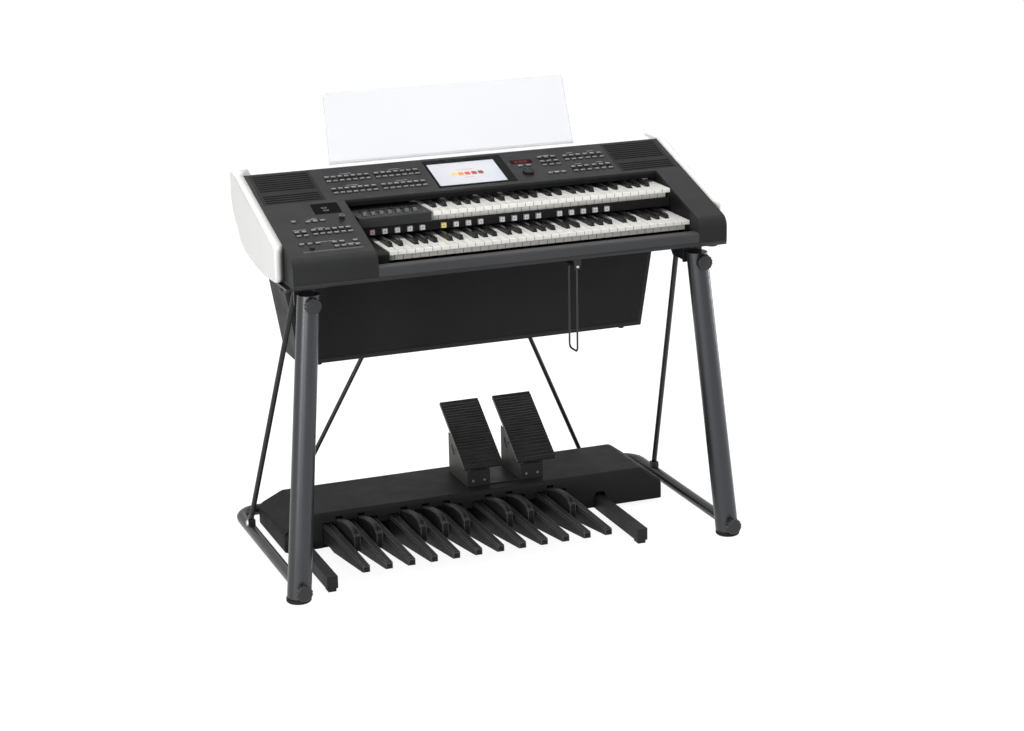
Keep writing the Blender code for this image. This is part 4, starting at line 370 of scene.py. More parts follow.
def moulded(name, colour, rough=(0.42, 0.54), drift=0.07, grain=1500.0, depth=0.00006, gloss=0.08,
            rim=1.0):
    """Moulded plastic: fine spark-eroded grain, a slow drift of tone and handled patches; a rim over
    one paints highlights along the edges.
    """
    finish = Finish(name)
    toned = finish.two_tone(finish.patches(5.0, 3.0), colour, 1.0 - drift, 1.0 + drift)
    # Painted highlight: the edges are lightened by the rim factor
    if rim > 1.0:
        toned = finish.blend(finish.edges(0.0045), toned, shade(colour, rim))
    finish.colour(toned)
    finish.matt(*rough, 14.0, 4.0, 0.6)
    finish.set(Specular_IOR_Level=gloss)
    finish.bump((finish.noise(38.0, 1.0), 0.00012), (finish.noise(grain, 2.0, 0.7), depth))
    return finish


def painted_metal(name, colour, rough, metallic, flake=2600.0, depth=0.00003):
    """Sprayed metal: flake in the colour, a light orange peel and softly varying gloss."""
    finish = Finish(name)
    flakes = finish.between(finish.noise(flake, 1.0, 0.8), 0.0, 1.0, 0.35, 0.75)
    finish.colour(finish.two_tone(flakes, colour, 0.86, 1.22))
    finish.matt(*rough, 9.0, 3.0)
    finish.set(Metallic=metallic)
    finish.bump((finish.noise(420.0, 2.0), depth))
    return finish


def finish_case():
    """The case plastic, left unpolished, with painted shade on the sides of the well below the panel.
    """
    finish = moulded("moulded_charcoal", tint("case"))
    toned = finish.coloured()
    # Painted shade: the inner faces of the well below the panel take a darker copy of the case colour
    well_shade = finish.between(finish.along(tuple(PANEL_NORMAL), PANEL_ORIGIN), 1.0, 0.0, -0.0090,
                           -0.0030)
    for name, low, high in WELL_SHADE_SIDES:
        place = finish.axis(name)
        well_shade = finish.math('MULTIPLY', well_shade,
                            finish.between(place, 0.0, 1.0, low - WELL_SHADE_FADE, low))
        well_shade = finish.math('MULTIPLY', well_shade,
                            finish.between(place, 1.0, 0.0, high, high + WELL_SHADE_FADE))
    finish.colour(finish.blend(well_shade, toned, shade(tint("case"), 0.30)))
    return finish


# Painted shade: a darker copy of the case colour for the recessed key frames, fascia and grilles
def finish_shaded_recess():
    return moulded("moulded_recess", shade(tint("case"), 0.55), (0.46, 0.60))


# Painted shade: the darkest copy of the case colour, for the plates round the buttons and in the
# cheek slots
def finish_deep_shade():
    return moulded("moulded_wells", shade(tint("case"), 0.30))


def finish_knobs():
    return moulded("knob_black", (0.014, 0.014, 0.015), (0.32, 0.44))


def finish_tubes():
    return painted_metal("black_satin_paint", tint("tubes"), (0.30, 0.42), 0.35)


def finish_shell():
    return moulded("satin_white_shell", shade(tint("shell"), 0.94), (0.32, 0.42), 0.012, 900.0,
                   0.00002, 0.4)


def finish_naturals():
    """Ivory-white key tops: faint long streaks and worn gloss, with painted shade deep between the
    keys.
    """
    finish = Finish("ivory_white_keys")
    base = tint("naturals")
    toned = finish.two_tone(finish.patches(70.0, 3.0, 0.6, (1.0, 0.08, 1.0)), base, 0.965, 1.02)
    # Painted shade: ambient occlusion darkens the keys in the narrow gaps between them
    finish.colour(finish.blend(finish.hollows(0.004), shade(base, 0.14), toned))
    finish.matt(0.17, 0.29, 40.0, 3.0)
    finish.set(Specular_IOR_Level=0.5, Coat_Weight=0.25, Coat_Roughness=0.12)
    finish.bump((finish.noise(180.0, 2.0, 0.6, (1.0, 0.2, 1.0)), 0.00003))
    return finish


def finish_sharps():
    """Polished black keys with faint long streaks."""
    finish = Finish("polished_black_keys")
    streaks = finish.patches(90.0, 3.0, 0.6, (1.0, 0.1, 1.0))
    finish.colour(finish.two_tone(streaks, tint("sharps"), 0.7, 1.3))
    finish.matt(0.20, 0.34, 60.0, 3.0)
    finish.set(Specular_IOR_Level=0.22)
    finish.bump((finish.noise(260.0, 2.0), 0.00004))
    return finish


def finish_caps():
    """Small caps: light above the panel, with painted shade darkening them where they pass through
    it.
    """
    finish = Finish("panel_button_caps")
    crown = finish.between(finish.along(PANEL_NORMAL, PANEL_ORIGIN), 0.0, 1.0, 0.0010, 0.0016)
    mottled = finish.two_tone(finish.patches(400.0), tint("caps"), 0.9, 1.08)
    # Painted shade: below the crown the caps take a dark copy of the case colour
    finish.colour(finish.blend(crown, shade(tint("case"), 0.5), mottled))
    finish.matt(0.34, 0.46, 120.0)
    finish.bump((finish.noise(1600.0, 2.0), 0.00003))
    return finish


def finish_registers():
    """Square pale buttons, one of them tinted and one of them lit."""
    finish = Finish("registration_button_caps")
    mottled = finish.two_tone(finish.patches(300.0), tint("registers"), 0.95, 1.04)
    across = finish.axis("X")
    tinted = finish.math('LESS_THAN', across, -0.3200)
    lit = finish.math('MULTIPLY', finish.math('GREATER_THAN', across, -0.1430),
                      finish.math('LESS_THAN', across, -0.1230))
    colour = finish.blend(tinted, mottled, tint("first_register"))
    colour = finish.blend(lit, colour, tint("lit_register"))
    finish.colour(colour)
    finish.glow(colour, finish.math('MULTIPLY', lit, 0.06))
    finish.matt(0.26, 0.36, 90.0)
    finish.bump((finish.noise(700.0, 2.0), 0.00003))
    return finish


def finish_pane():
    """Clear acrylic with a faint cool tint: it shows the pale studio behind it."""
    finish = Finish("clear_acrylic")
    finish.colour(finish.two_tone(finish.patches(3.0, 2.0), tint("pane"), 0.985, 1.0))
    finish.matt(0.10, 0.18, 8.0, 3.0)
    finish.set(Transmission_Weight=0.82, IOR=1.49, Specular_IOR_Level=0.4)
    finish.bump((finish.noise(12.0, 2.0), 0.00004))
    return finish


def finish_cloth():
    """Stretched black speaker cloth: a plain weave of round threads about 1 mm apart."""
    finish = Finish("speaker_cloth_weave")
    base = tint("cloth")
    weave = finish.math('MULTIPLY', *[finish.wave(axis, 300.0, 0.6, 1.0) for axis in 'XZ'])
    toned = finish.two_tone(finish.patches(7.0, 3.0), base, 0.9, 1.15)
    finish.colour(finish.blend(weave, shade(base, 0.45), toned))
    finish.roughness(finish.between(weave, 0.95, 0.80, 0.0, 1.0))
    finish.set(Sheen_Weight=0.10, Sheen_Roughness=0.5, Specular_IOR_Level=0.25)
    finish.bump((weave, 0.0003), (finish.noise(900.0, 2.0), 0.00008))
    return finish


def finish_rubber(name="black_rubber"):
    finish = Finish(name)
    finish.colour(finish.blend(finish.patches(20.0, 3.0), (0.008, 0.008, 0.008),
                               (0.020, 0.020, 0.021)))
    finish.matt(0.62, 0.80, 60.0, 3.0)
    finish.set(Specular_IOR_Level=0.15)
    finish.bump((finish.noise(1100.0, 3.0, 0.7), 0.00010))
    return finish


def finish_cheeks():
    """Painted bracket plates, a paler grey on their broad sides, more so towards the top."""
    finish = moulded("bracket_paint", shade(tint("pedals"), 1.1), (0.42, 0.52), 0.08, 900.0,
                     0.00004)
    toned = finish.coloured()
    normal = finish.axis("X", finish.add("ShaderNodeTexCoord").outputs["Normal"])
    broad = finish.between(finish.math('ABSOLUTE', normal, 0.0), 0.0, 1.0, 0.85, 0.97)
    height = finish.between(finish.axis("Z"), 0.25, 1.0, 0.125, 0.215)
    finish.colour(finish.blend(finish.math('MULTIPLY', broad, height), toned,
                               (0.110, 0.110, 0.103)))
    return finish


def finish_steel():
    """Bright zinc plating with fine cloudy brushing."""
    finish = Finish("zinc_plate")
    finish.colour(finish.blend(finish.patches(130.0, 4.0, 0.7), (0.42, 0.42, 0.43),
                               (0.62, 0.62, 0.61)))
    finish.matt(0.24, 0.40, 300.0, 3.0)
    finish.set(Metallic=1.0)
    finish.bump((finish.noise(1400.0, 2.0), 0.00003))
    return finish


def finish_board():
    """Black textured foil on the cabinet boards."""
    return moulded("cabinet_foil", (0.0200, 0.0203, 0.0215), (0.50, 0.64), 0.10, 700.0, 0.00010,
                   0.15)


def finish_screen():
    """A lit liquid-crystal screen, a little brighter in its middle."""
    finish = Finish("lit_screen")
    x = finish.math('MULTIPLY', finish.math('ADD', finish.axis("X"), 0.003), 8.5)
    up = finish.math('MULTIPLY', finish.along(PANEL_UP, PANEL @ Vector((0, 0.32, 0))), 11.0)
    away = finish.math('ADD', finish.math('MULTIPLY', x, x), finish.math('MULTIPLY', up, up))
    middle = finish.between(away, 1.0, 0.0, 0.0, 1.2)
    cells = finish.between(finish.noise(2400.0, 1.0), 0.97, 1.03)
    lit = finish.blend(middle, (0.62, 0.65, 0.73), (0.72, 0.73, 0.77))
    finish.colour(finish.blend(middle, (0.24, 0.25, 0.28), (0.28, 0.28, 0.30)))
    finish.glow(lit, finish.math('MULTIPLY', cells, 0.50))
    finish.set(Specular_IOR_Level=0.2)
    finish.matt(0.10, 0.18, 30.0)
    return finish


def finish_window():
    """Dark red filter of the number window."""
    finish = Finish("red_filter")
    finish.colour(finish.blend(finish.patches(60.0), (0.020, 0.002, 0.003), (0.034, 0.004, 0.005)))
    finish.matt(0.30, 0.40, 40.0)
    finish.set(Specular_IOR_Level=0.01)
    return finish


def finish_print(name, colour, strength=0.0):
    """Screen-printed ink, or a lit mark where it has a strength."""
    finish = Finish(name)
    toned = finish.two_tone(finish.patches(240.0, 3.0), colour, 0.82, 1.06)
    finish.colour(toned)
    finish.matt(0.45, 0.60, 200.0)
    if strength:
        finish.glow(toned, strength)
    return finish


def finish_dim_ink():
    return finish_print("dim_legend_ink", (0.160, 0.165, 0.170))


def finish_circuit():
    """Green board with lighter copper tracks under its lacquer."""
    finish = Finish("circuit_board")
    tracks = finish.wave('DIAGONAL', 60.0, 4.0)
    lines = finish.between(tracks, 0.0, 1.0, 0.7, 0.8)
    finish.colour(finish.blend(lines, (0.010, 0.075, 0.030), (0.030, 0.150, 0.060)))
    finish.matt(0.30, 0.45, 80.0)
    finish.bump((tracks, 0.00005))
    return finish


def finish_cone():
    """Pressed paper cone with a fibrous surface."""
    finish = Finish("paper_cone")
    fibres = finish.patches(260.0, 5.0, 0.8, (1.0, 1.0, 0.3))
    finish.colour(finish.blend(fibres, (0.018, 0.018, 0.019), (0.045, 0.044, 0.043)))
    finish.roughness(finish.between(fibres, 0.72, 0.92, 0.0, 1.0))
    finish.bump((fibres, 0.0002))
    return finish


@cache
def use(maker, *values):
    """Make a finish the first time that it is asked for."""
    return maker(*values).material


# Shapes

WELD_DISTANCE = 0.00002
FLAT_ANGLE = radians(0.6)
PIECE_ANGLE = 35.0
CORNER_STEPS = 4


def tidy_group():
    """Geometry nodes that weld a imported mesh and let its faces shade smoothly."""
    name = "weld_and_smooth"
    if name in bpy.data.node_groups:
        return bpy.data.node_groups[name]
    group = bpy.data.node_groups.new(name, 'GeometryNodeTree')
    for side in ('INPUT', 'OUTPUT'):
        group.interface.new_socket("Geometry", in_out=side, socket_type='NodeSocketGeometry')
    start = group.nodes.new("NodeGroupInput")
    end = group.nodes.new("NodeGroupOutput")
    source = start.outputs[0]
    for attribute in ("custom_normal", "sharp_edge", "sharp_face"):
        node = group.nodes.new("GeometryNodeRemoveAttribute")
        node.inputs["Name"].default_value = attribute
        group.links.new(source, node.inputs[0])
        source = node.outputs[0]
    weld = group.nodes.new("GeometryNodeMergeByDistance")
    weld.inputs["Distance"].default_value = WELD_DISTANCE
    group.links.new(source, weld.inputs[0])
    smooth = group.nodes.new("GeometryNodeSetShadeSmooth")
    group.links.new(weld.outputs[0], smooth.inputs[0])
    group.links.new(smooth.outputs[0], end.inputs[0])
    return group


def soften(obj, width, segments=2, angle=33.0, welded=False, clamp=False):
    """Round the edges of a piece with modifiers, its mesh left as it is."""
    if not welded:
        obj.modifiers.new("weld", 'NODES').node_group = tidy_group()
        flat = obj.modifiers.new("join_flats", 'DECIMATE')
        flat.decimate_type = 'DISSOLVE'
        flat.angle_limit = FLAT_ANGLE
    if width:
        bevel = obj.modifiers.new("edges", 'BEVEL')
        bevel.width = width
        bevel.segments = segments
        bevel.limit_method = 'ANGLE'
        bevel.angle_limit = radians(angle)
        bevel.use_clamp_overlap = clamp
    normals = obj.modifiers.new("even_shading", 'WEIGHTED_NORMAL')
    normals.keep_sharp = True
    return obj


def dress(names, material, width, segments=2, angle=33.0, clamp=False):
    """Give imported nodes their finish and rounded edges."""
    for name in names.split():
        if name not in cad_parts:
            raise RuntimeError("the packed model has no node named " + name)
        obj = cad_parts[name]
        for slot in obj.material_slots:
            slot.material = material
        soften(obj, width, segments, angle, clamp=clamp)


def piece(name, bm, material, body, edge=0.0):
    """Turn a mesh under construction into a piece that rides on a body."""
    bmesh.ops.recalc_face_normals(bm, faces=bm.faces)
    mesh = bpy.data.meshes.new(name)
    bm.to_mesh(mesh)
    bm.free()
    mesh.materials.append(material)
    mesh.shade_smooth()
    if not edge:
        mesh.set_sharp_from_angle(angle=radians(PIECE_ANGLE))
    obj = bpy.data.objects.new(name, mesh)
    bpy.context.scene.collection.objects.link(obj)
    if edge:
        soften(obj, edge, angle=PIECE_ANGLE, welded=True)
    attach(obj, body)
    return obj


def add_loft(bm, rings, closed=False):
    """Skin rings of points, between end caps or, where closed, round to the first ring again."""
    rows = [[bm.verts.new(point) for point in ring] for ring in rings]
    count = len(rows[0])
    for low, high in zip(rows, rows[1:] + rows[:1] if closed else rows[1:]):
        for index in range(count):
            after = (index + 1) % count
            bm.faces.new((low[index], low[after], high[after], high[index]))
    if not closed:
        bm.faces.new(rows[0][::-1])
        bm.faces.new(rows[-1])


def add_box(bm, x0, x1, y0, y1, z0, z1, place=Matrix.Identity(4)):
    ring = ((x0, y0), (x1, y0), (x1, y1), (x0, y1))
    add_loft(bm, [[place @ Vector((x, y, z)) for x, y in ring] for z in (z0, z1)])


def add_turned(bm, profile, sides, place, closed=False):
    """Stack circles of (radius, height) along the place's Z axis."""
    rings = []
    for radius, height in profile:
        rings.append([place @ Vector((radius * cos(2.0 * pi * step / sides),
                                      radius * sin(2.0 * pi * step / sides), height))
                      for step in range(sides)])
    add_loft(bm, rings, closed)


def add_screw(bm, place, radius, height=None):
    """A pan-head screw with a socket in its crown."""
    rise = height or radius * 0.55
    add_turned(bm, ((radius, 0.0), (radius, rise * 0.35), (radius * 0.86, rise * 0.8),
                    (radius * 0.60, rise), (radius * 0.42, rise), (radius * 0.38, rise * 0.3)),
               18, place)


def add_rounded_slab(bm, x0, x1, y0, y1, z0, z1, corner):
    """A flat slab with rounded corners, laid on the panel."""
    outline = []
    for cx, cy, start in ((x1 - corner, y1 - corner, 0.0), (x0 + corner, y1 - corner, 0.5 * pi),
                          (x0 + corner, y0 + corner, pi), (x1 - corner, y0 + corner, 1.5 * pi)):
        for step in range(CORNER_STEPS + 1):
            turn = start + 0.5 * pi * step / CORNER_STEPS
            outline.append((cx + corner * cos(turn), cy + corner * sin(turn)))
    add_loft(bm, [[PANEL @ Vector((x, y, z)) for x, y in outline] for z in (z0, z1)])


def facing(direction, origin):
    rotation = Vector(direction).to_track_quat('Z', 'Y').to_matrix().to_4x4()
    return Matrix.Translation(origin) @ rotation


def leg_centre(side, z):
    share = z / LEG_LENGTH
    return Vector((side * (LEG_FOOT[0] + (LEG_TOP[0] - LEG_FOOT[0]) * share),
                   KEY_Y + LEG_FOOT[1] + (LEG_TOP[1] - LEG_FOOT[1]) * share, z))


# Pieces

def build_case():
    """Dark mouldings of the console."""
    case = tint("case")
    edge = sizes().edge
    dress("upper_case", use(finish_case), edge * 0.8)
    # Painted light: the base, the front rail and the controller block take lighter copies of the case
    # colour, making up for the shade they sit in
    dress("bottom_case", use(moulded, "moulded_base", shade(case, 1.60)), edge)
    dress("front_rail", use(moulded, "moulded_rail", shade(case, 2.35)), edge)
    dress("controller_block", use(moulded, "moulded_block", shade(case, 1.45)), edge, clamp=True)
    dress("left_grille right_grille", use(finish_shaded_recess), 0.0003, 1)
    dress("lower_key_frame upper_key_frame manual_fascia", use(finish_shaded_recess), 0.0004)


def build_grille_linings():
    """Dark felt strips under the outer ends of the grille slats."""
    inset = 0.0010
    reach = 0.0420
    end_gap = 0.0020
    for name, side in (("left_grille", -1.0), ("right_grille", 1.0)):
        low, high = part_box(name)
        near = (low[1] - KEY_Y) / cos(PITCH) + end_gap
        far = (high[1] - KEY_Y) / cos(PITCH) - end_gap
        outer = low[0] if side < 0.0 else high[0]
        x0, x1 = sorted((outer - side * inset, outer - side * reach))
        bm = bmesh.new()
        add_box(bm, x0, x1, near, far, -0.0095, -0.0085, PANEL)
        piece(name + "_lining", bm, use(finish_rubber), "organ")


def build_shell():
    """Pale side panels and rear shell, with the screws that hold them."""
    shell = use(finish_shell)
    dress("left_side_panel right_side_panel", shell, 0.0)
    dress("rear_cover", shell, sizes().edge)
    bm = bmesh.new()
    for x in spread(-0.5200, 0.2080, 6):
        for z in (0.8640, 1.0250):
            add_screw(bm, facing(BACKWARD, (x, REAR_FACE, z)), sizes().screw)
    piece("rear_shell_screws", bm, use(finish_steel), "organ")


def build_manuals():
    """Both manuals: ivory whites and polished blacks."""
    edge = sizes().key_edge
    dress("lower_naturals upper_naturals", use(finish_naturals), edge)
    dress("lower_sharps upper_sharps", use(finish_sharps), edge * 1.6, clamp=True)


def opening_edges(places, half):
    """Where a plate round a row of caps starts, opens for each cap and ends."""
    margin = POCKET_MARGIN - CLEARANCE
    edges = [min(places) - half - margin]
    for place in sorted(places):
        edges += [place - half - CAP_GAP, place + half + CAP_GAP]
    return edges + [max(places) + half + margin]


def surround(bm, cluster, top, bottom):
    """A plate round the buttons of one cluster, with an opening for each cap."""
    xs, ss = [opening_edges(places, half) for places, half in zip(cluster, CAP_HALF)]
    grid = [[bm.verts.new(PANEL @ Vector((x, s, top))) for x in xs] for s in ss]
    faces = []
    for row in range(len(ss) - 1):
        for column in range(len(xs) - 1):
            if row % 2 and column % 2:
                continue
            faces.append(bm.faces.new((grid[row][column], grid[row][column + 1],
                                       grid[row + 1][column + 1], grid[row + 1][column])))
    result = bmesh.ops.extrude_face_region(bm, geom=faces)
    lowered = [item for item in result["geom"] if isinstance(item, bmesh.types.BMVert)]
    bmesh.ops.translate(bm, verts=lowered, vec=PANEL_NORMAL * (bottom - top))


def settle_order(bm):
    """Number corners, edges and faces by place, because an extrusion's order varies."""
    for elements, place in ((bm.verts, lambda item: item.co),
                            (bm.edges, lambda item: item.verts[0].co + item.verts[1].co),
                            (bm.faces, lambda item: item.calc_center_median())):
        for index, item in enumerate(sorted(elements, key=lambda item: tuple(place(item)))):
            item.index = index
        elements.sort()


def caps_of(clusters):
    """Each cap's place on the panel, and whether it is in the top row of its cluster."""
    return [(x, s, s == max(rows)) for places, rows in clusters for x in places for s in rows]


def build_panel_controls():
    """Buttons, knobs and faders of the sloping panel, and the plates of painted shade round the
    buttons.
    """
    dress("voice_buttons function_buttons block_buttons", use(finish_caps), 0.0005)
    dress("controller_faders", use(moulded, "fader_caps", (0.045, 0.045, 0.048), (0.25, 0.35), 0.1,
                                   800.0, 0.00003, 0.5), 0.0006)
    dress("registration_buttons", use(finish_registers), 0.0008)
    dress("data_dial volume_knob trim_knob", use(finish_knobs), 0.0005)
    bm = bmesh.new()
    for cluster in VOICE_CLUSTERS + FUNCTION_CLUSTERS + BLOCK_CLUSTERS:
        surround(bm, cluster, -0.0010, -0.0016)
    settle_order(bm)
    # The plates round the buttons are painted shade, in the darkest copy of the case colour
    piece("button_surrounds", bm, use(finish_deep_shade), "organ")
    bm = bmesh.new()
    profile = ((0.0166, 0.0001), (0.0166, 0.0008), (0.0172, 0.0012), (0.0186, 0.0012),
               (0.0192, 0.0006), (0.0192, 0.0001))
    add_turned(bm, profile, 48, DIAL, closed=True)
    piece("data_dial_ring", bm, use(moulded, "dial_ring", (0.030, 0.030, 0.032)), "organ")


def build_cap_details():
    """A thin dark layer of painted shade over the lower front half of each cap, the frames of the
    square buttons and the knob tops.
    """
    half_x, half_s = CAP_HALF
    # Painted shade: a dark layer over the front half of each cap top, leaving light only at its back
    # edge
    dark = use(moulded, "cap_step", (0.030, 0.030, 0.031))
    for kind, clusters in (("voice", VOICE_CLUSTERS), ("function", FUNCTION_CLUSTERS),
                           ("block", BLOCK_CLUSTERS)):
        bm = bmesh.new()
        for x, s, _ in caps_of(clusters):
            add_box(bm, x - half_x + 0.0004, x + half_x - 0.0004, s - half_s + 0.0002, s - 0.0004,
                    0.0024, 0.00266, PANEL)
        piece(kind + "_cap_steps", bm, dark, kind + "_button_set")
    build_register_details()
    top = use(moulded, "knob_top", (0.110, 0.110, 0.115), (0.34, 0.44), 0.05, 900.0, 0.00002, 0.2)
    bm = bmesh.new()
    add_turned(bm, ((0.0074, 0.0), (0.0074, 0.0003), (0.0066, 0.0007), (0.0020, 0.0005)), 32,
               VOLUME_KNOB_TOP)
    piece("volume_knob_top", bm, top, "volume_knob_body")
    bm = bmesh.new()
    add_box(bm, 0.1622, 0.1638, 0.2925, 0.3005, 0.0078, 0.0082, PANEL)
    piece("data_dial_mark", bm, top, "data_dial_body")


def build_register_details():
    """A raised frame and a small plain mark on each square button."""
    face = FASCIA_FACE - 0.0030
    sunk = face - 0.0001
    outer = 0.0073
    inner = 0.0063
    mark = 0.0017
    frames = bmesh.new()
    marks = bmesh.new()
    for x in REGISTER_PLACES:
        for x0, x1, z0, z1 in ((-outer, outer, inner, outer), (-outer, outer, -outer, -inner),
                               (-outer, -inner, -inner, inner), (inner, outer, -inner, inner)):
            add_box(frames, x + x0, x + x1, sunk, face + 0.0006, REGISTER_Z + z0, REGISTER_Z + z1)
        add_box(marks, x - mark, x + mark, sunk, face + 0.0004, REGISTER_Z - 0.0020,
                REGISTER_Z + 0.0012)
    for name, bm, material in (
            ("frames", frames, use(moulded, "register_frame", (0.110, 0.105, 0.110))),
            ("marks", marks, use(finish_print, "register_mark", (0.200, 0.190, 0.210)))):
        piece("register_" + name, bm, material, "registration_button_set")


def build_controller_details():
    """Small domes behind the faders, each with its scale line, and the slots of the faders."""
    top = CONTROLLER_TOP
    ink = 0.0002
    stagger = 0.0060
    domes = bmesh.new()
    lines = bmesh.new()
    for index, x in enumerate(spread(-0.3400, 0.0280, 6)):
        y = -0.0700 + stagger * (index % 2)
        add_turned(domes, ((0.0068, 0.0), (0.0068, 0.0022), (0.0060, 0.0040), (0.0040, 0.0050),
                           (0.0015, 0.0053)), 24, Matrix.Translation((x, y, top - 0.0004)))
        add_box(lines, x - 0.0090, x + 0.0090, y - 0.0120, y - 0.0112, top, top + ink)
        add_box(lines, x - 0.0006, x + 0.0006, y - 0.0010, y + 0.0040, top + 0.0047, top + 0.0051)
    for x in spread(-0.3450, 0.0230, 7):
        for offset in (-0.0078, 0.0078):
            add_box(lines, x + offset - 0.0004, x + offset + 0.0004, -0.1250, -0.0990, top,
                    top + ink)
    piece("controller_domes", domes, use(finish_knobs), "organ")
    piece("controller_lines", lines, use(finish_dim_ink), "organ")


def build_panel_print():
    """Plain printed dashes where the panel carries its legends."""
    rng = random.Random(7)
    tall = sizes().legend
    bm = bmesh.new()

    def dash(x, s, width, height, lift):
        add_box(bm, x - width / 2.0, x + width / 2.0, s - height / 2.0, s + height / 2.0,
                lift, lift + 0.00012, PANEL)

    for clusters, reach in ((VOICE_CLUSTERS, 0.0058), (FUNCTION_CLUSTERS, 0.0058),
                            (BLOCK_CLUSTERS, 0.0056)):
        for x, s, top in caps_of(clusters):
            dash(x, s + reach + (0.0012 if top else 0.0004), rng.uniform(0.0075, 0.0118), tall,
                 0.00005 if top else -0.00028)
    for x, s, width in ((-0.4860, 0.1020, 0.0300), (-0.3320, 0.3760, 0.0320),
                        (-0.1940, 0.3760, 0.0320), (-0.3320, 0.3105, 0.0320),
                        (-0.1940, 0.3105, 0.0320), (0.3190, 0.3770, 0.0180),
                        (0.3820, 0.3770, 0.0180), (0.3190, 0.3110, 0.0180),
                        (0.3820, 0.3110, 0.0180), (-0.4850, 0.0320, 0.0420),
                        (-0.5380, 0.1000, 0.0340), (-0.4900, 0.1470, 0.0230),
                        (-0.4850, 0.1530, 0.0120), (0.2430, 0.3740, 0.0300),
                        (0.2430, 0.2810, 0.0240), (-0.4300, 0.0110, 0.0260)):
        dash(x, s, width, 0.0010, 0.00005)
    piece("panel_legends", bm, use(finish_print, "legend_ink", tint("legends")), "organ")
    bm = bmesh.new()
    add_rounded_slab(bm, -0.5600, -0.4020, -0.0160, -0.0100, 0.0, 0.0002, 0.0015)
    piece("block_strip", bm, use(finish_print, "bronze_line", (0.033, 0.032, 0.030)), "organ")


def build_socket_plate():
    """Glossy dark plate in the recess of the left block, with two small sockets."""
    x0, x1, s0, s1 = SOCKET_POCKET
    gap = 0.0008
    bm = bmesh.new()
    add_rounded_slab(bm, x0 + gap, x1 - gap, s0 + gap, s1 - gap, -0.0019, -0.0008, 0.0020)
    piece("socket_plate", bm, use(moulded, "socket_plate", (0.0100, 0.0100, 0.0105), (0.60, 0.70),
                                  0.1, 900.0, 0.00003, 0.0), "organ", 0.0003)
    for name, half_x, half_s, low, high, corner, maker, slot, edge in (
            ("rims", 0.0075, 0.0030, -0.0009, -0.0002, 0.0012, finish_dim_ink, "zinc_steel",
             0.0002),
            ("mouths", 0.0062, 0.0019, -0.0003, -0.0001, 0.0006, finish_rubber, "foot_rubber",
             0.0)):
        bm = bmesh.new()
        for x, s in SOCKETS:
            add_rounded_slab(bm, x - half_x, x + half_x, s - half_s, s + half_s, low, high, corner)
        piece("socket_" + name, bm, use(maker), "organ", edge)


def build_display():
    """The screen in its glossy surround, with plain coloured tiles, and the number window."""
    dress("display_bezel", use(moulded, "gloss_black", (0.0060, 0.0060, 0.0066), (0.20, 0.28), 0.1,
                               600.0, 0.00001, 0.012), 0.0008)
    dress("display_screen", use(finish_screen), 0.0)
    dress("number_window", use(finish_window), 0.0)
    surface = -0.0010
    lit = surface + 0.00015
    tones = ((0.78, 0.52, 0.12), (0.70, 0.26, 0.06), (0.55, 0.08, 0.03), (0.33, 0.03, 0.02),
             (0.16, 0.02, 0.02))
    for index, tile in enumerate(tones):
        bm = bmesh.new()
        x = -0.0480 + index * 0.0190
        add_rounded_slab(bm, x, x + 0.0150, 0.3090, 0.3260, surface, lit, 0.0030)
        number = str(index + 1)
        piece("screen_tile_" + number, bm,
              use(finish_print, "screen_tile_tone_" + number, tile, 0.2), "organ")
    bm = bmesh.new()
    for x0, x1, s0, s1 in ((-0.0280, 0.0200, 0.3380, 0.3410), (-0.0180, 0.0120, 0.2950, 0.2975)):
        add_rounded_slab(bm, x0, x1, s0, s1, surface, lit, 0.0010)
    piece("screen_bars", bm, use(finish_print, "screen_bar_tone", (0.52, 0.30, 0.27), 0.2),
          "organ")
    build_number_segments()


def build_number_segments():
    """Three digits of lit bars in the number window."""
    low, high = -0.0006, -0.00045
    x0, _, s0, s1 = NUMBER_WINDOW
    bm = bmesh.new()
    for digit in range(3):
        x = x0 + 0.0140 + digit * 0.0135
        for s in (s0 + 0.0050, (s0 + s1) / 2.0, s1 - 0.0050):
            add_rounded_slab(bm, x, x + 0.0070, s - 0.0005, s + 0.0005, low, high, 0.0004)
        for edge in (x - 0.0006, x + 0.0070):
            for s in (s0 + 0.0058, (s0 + s1) / 2.0 + 0.0008):
                add_rounded_slab(bm, edge - 0.0003, edge + 0.0006, s, s + 0.0040, low, high, 0.0003)
    piece("number_segments", bm, use(finish_print, "lit_red_segments", (0.20, 0.016, 0.014), 0.35),
          "organ")


def build_music_rest():
    """The clear pane with its polished edges."""
    dress("music_rest", use(finish_pane), 0.0008)


def build_speakers():
    """Speaker cabinet with its cloth, and the loudspeakers behind it and under the louvres."""
    board = use(finish_board)
    dress("speaker_cabinet", board, 0.0016)
    dress("speaker_baffle", board, 0.0006)
    dress("speaker_cloth", use(finish_cloth), 0.0008)
    dress("left_speaker right_speaker left_woofer right_woofer", use(finish_cone), 0.0)
    bm = bmesh.new()
    for x in spread(-0.4700, 0.1880, 6):
        for z in (0.5530, 0.8150):
            if abs(x) > 0.15 or z < 0.7:
                add_screw(bm, facing(BACKWARD, (x, 0.1769, z)), sizes().screw)
    piece("cabinet_screws", bm, use(finish_tubes), "organ")


